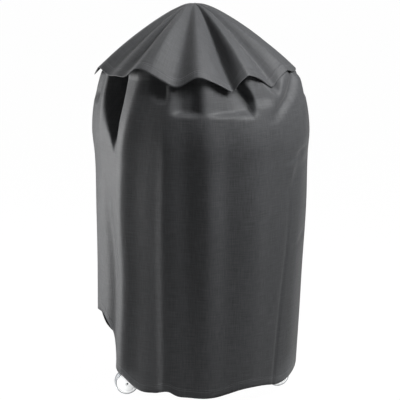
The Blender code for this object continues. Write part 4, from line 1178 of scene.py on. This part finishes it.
def camera(stage):
    """The camera looks a little down on the grill, from its front."""
    data = bpy.data.cameras.new("camera")
    data.lens = stage.lens
    data.sensor_width = 36.0
    data.clip_end = 100.0
    made = in_scene("camera", data)
    place = Vector(seen_from(0, stage.distance, stage.camera_height))
    side = Vector(seen_from(90, 0.0131, 0.0))
    aim = Vector((0, 0, 0.485)) + side - place
    level = aim.to_track_quat("-Z", "Y").to_matrix().to_4x4()
    tilt = Matrix.Rotation(math.radians(-0.2), 4, "Z")
    made.matrix_world = Matrix.Translation(place) @ level @ tilt
    bpy.context.scene.camera = made


class GRILL_OT_stage(bpy.types.Operator):
    """Makes the floor, the lights and the camera"""

    bl_idname = "grill.stage"
    bl_label = "Stage"

    def execute(self, context):
        stage = context.scene.grill_stage
        white_floor()
        studio_lights(stage)
        studio_world()
        camera(stage)
        return {"FINISHED"}


class GRILL_PT_panel(bpy.types.Panel):
    """Lists the grill's pieces and settings"""

    bl_idname = "GRILL_PT_panel"
    bl_label = "Covered kettle grill"
    bl_space_type = "VIEW_3D"
    bl_region_type = "UI"
    bl_category = "Grill"

    def draw(self, context):
        column = self.layout.column()
        for settings in (context.scene.grill_cover, context.scene.grill_stage):
            for name in settings.__annotations__:
                column.prop(settings, name)
        for operator in OPERATORS:
            column.operator(operator.bl_idname)


SETTINGS = (CoverSettings, StageSettings)
OPERATORS = (
    GRILL_OT_finishes, GRILL_OT_cover, GRILL_OT_lid, GRILL_OT_bowl, GRILL_OT_grates,
    GRILL_OT_ash_gear, GRILL_OT_stand, GRILL_OT_castors, GRILL_OT_stage,
)


def register():
    for kind in (*SETTINGS, *OPERATORS, GRILL_PT_panel):
        bpy.utils.register_class(kind)
    bpy.types.Scene.grill_cover = PointerProperty(type=CoverSettings)
    bpy.types.Scene.grill_stage = PointerProperty(type=StageSettings)


def unregister():
    del bpy.types.Scene.grill_stage
    del bpy.types.Scene.grill_cover
    for kind in (GRILL_PT_panel, *reversed(OPERATORS), *reversed(SETTINGS)):
        bpy.utils.unregister_class(kind)


def main():
    """Makes every piece and the stage."""
    register()
    bpy.ops.grill.finishes()
    bpy.ops.grill.cover()
    bpy.ops.grill.lid()
    bpy.ops.grill.bowl()
    bpy.ops.grill.grates()
    bpy.ops.grill.ash_gear()
    bpy.ops.grill.stand()
    bpy.ops.grill.castors()
    bpy.ops.grill.stage()
    bpy.context.view_layer.update()


if __name__ == "__main__":
    main()
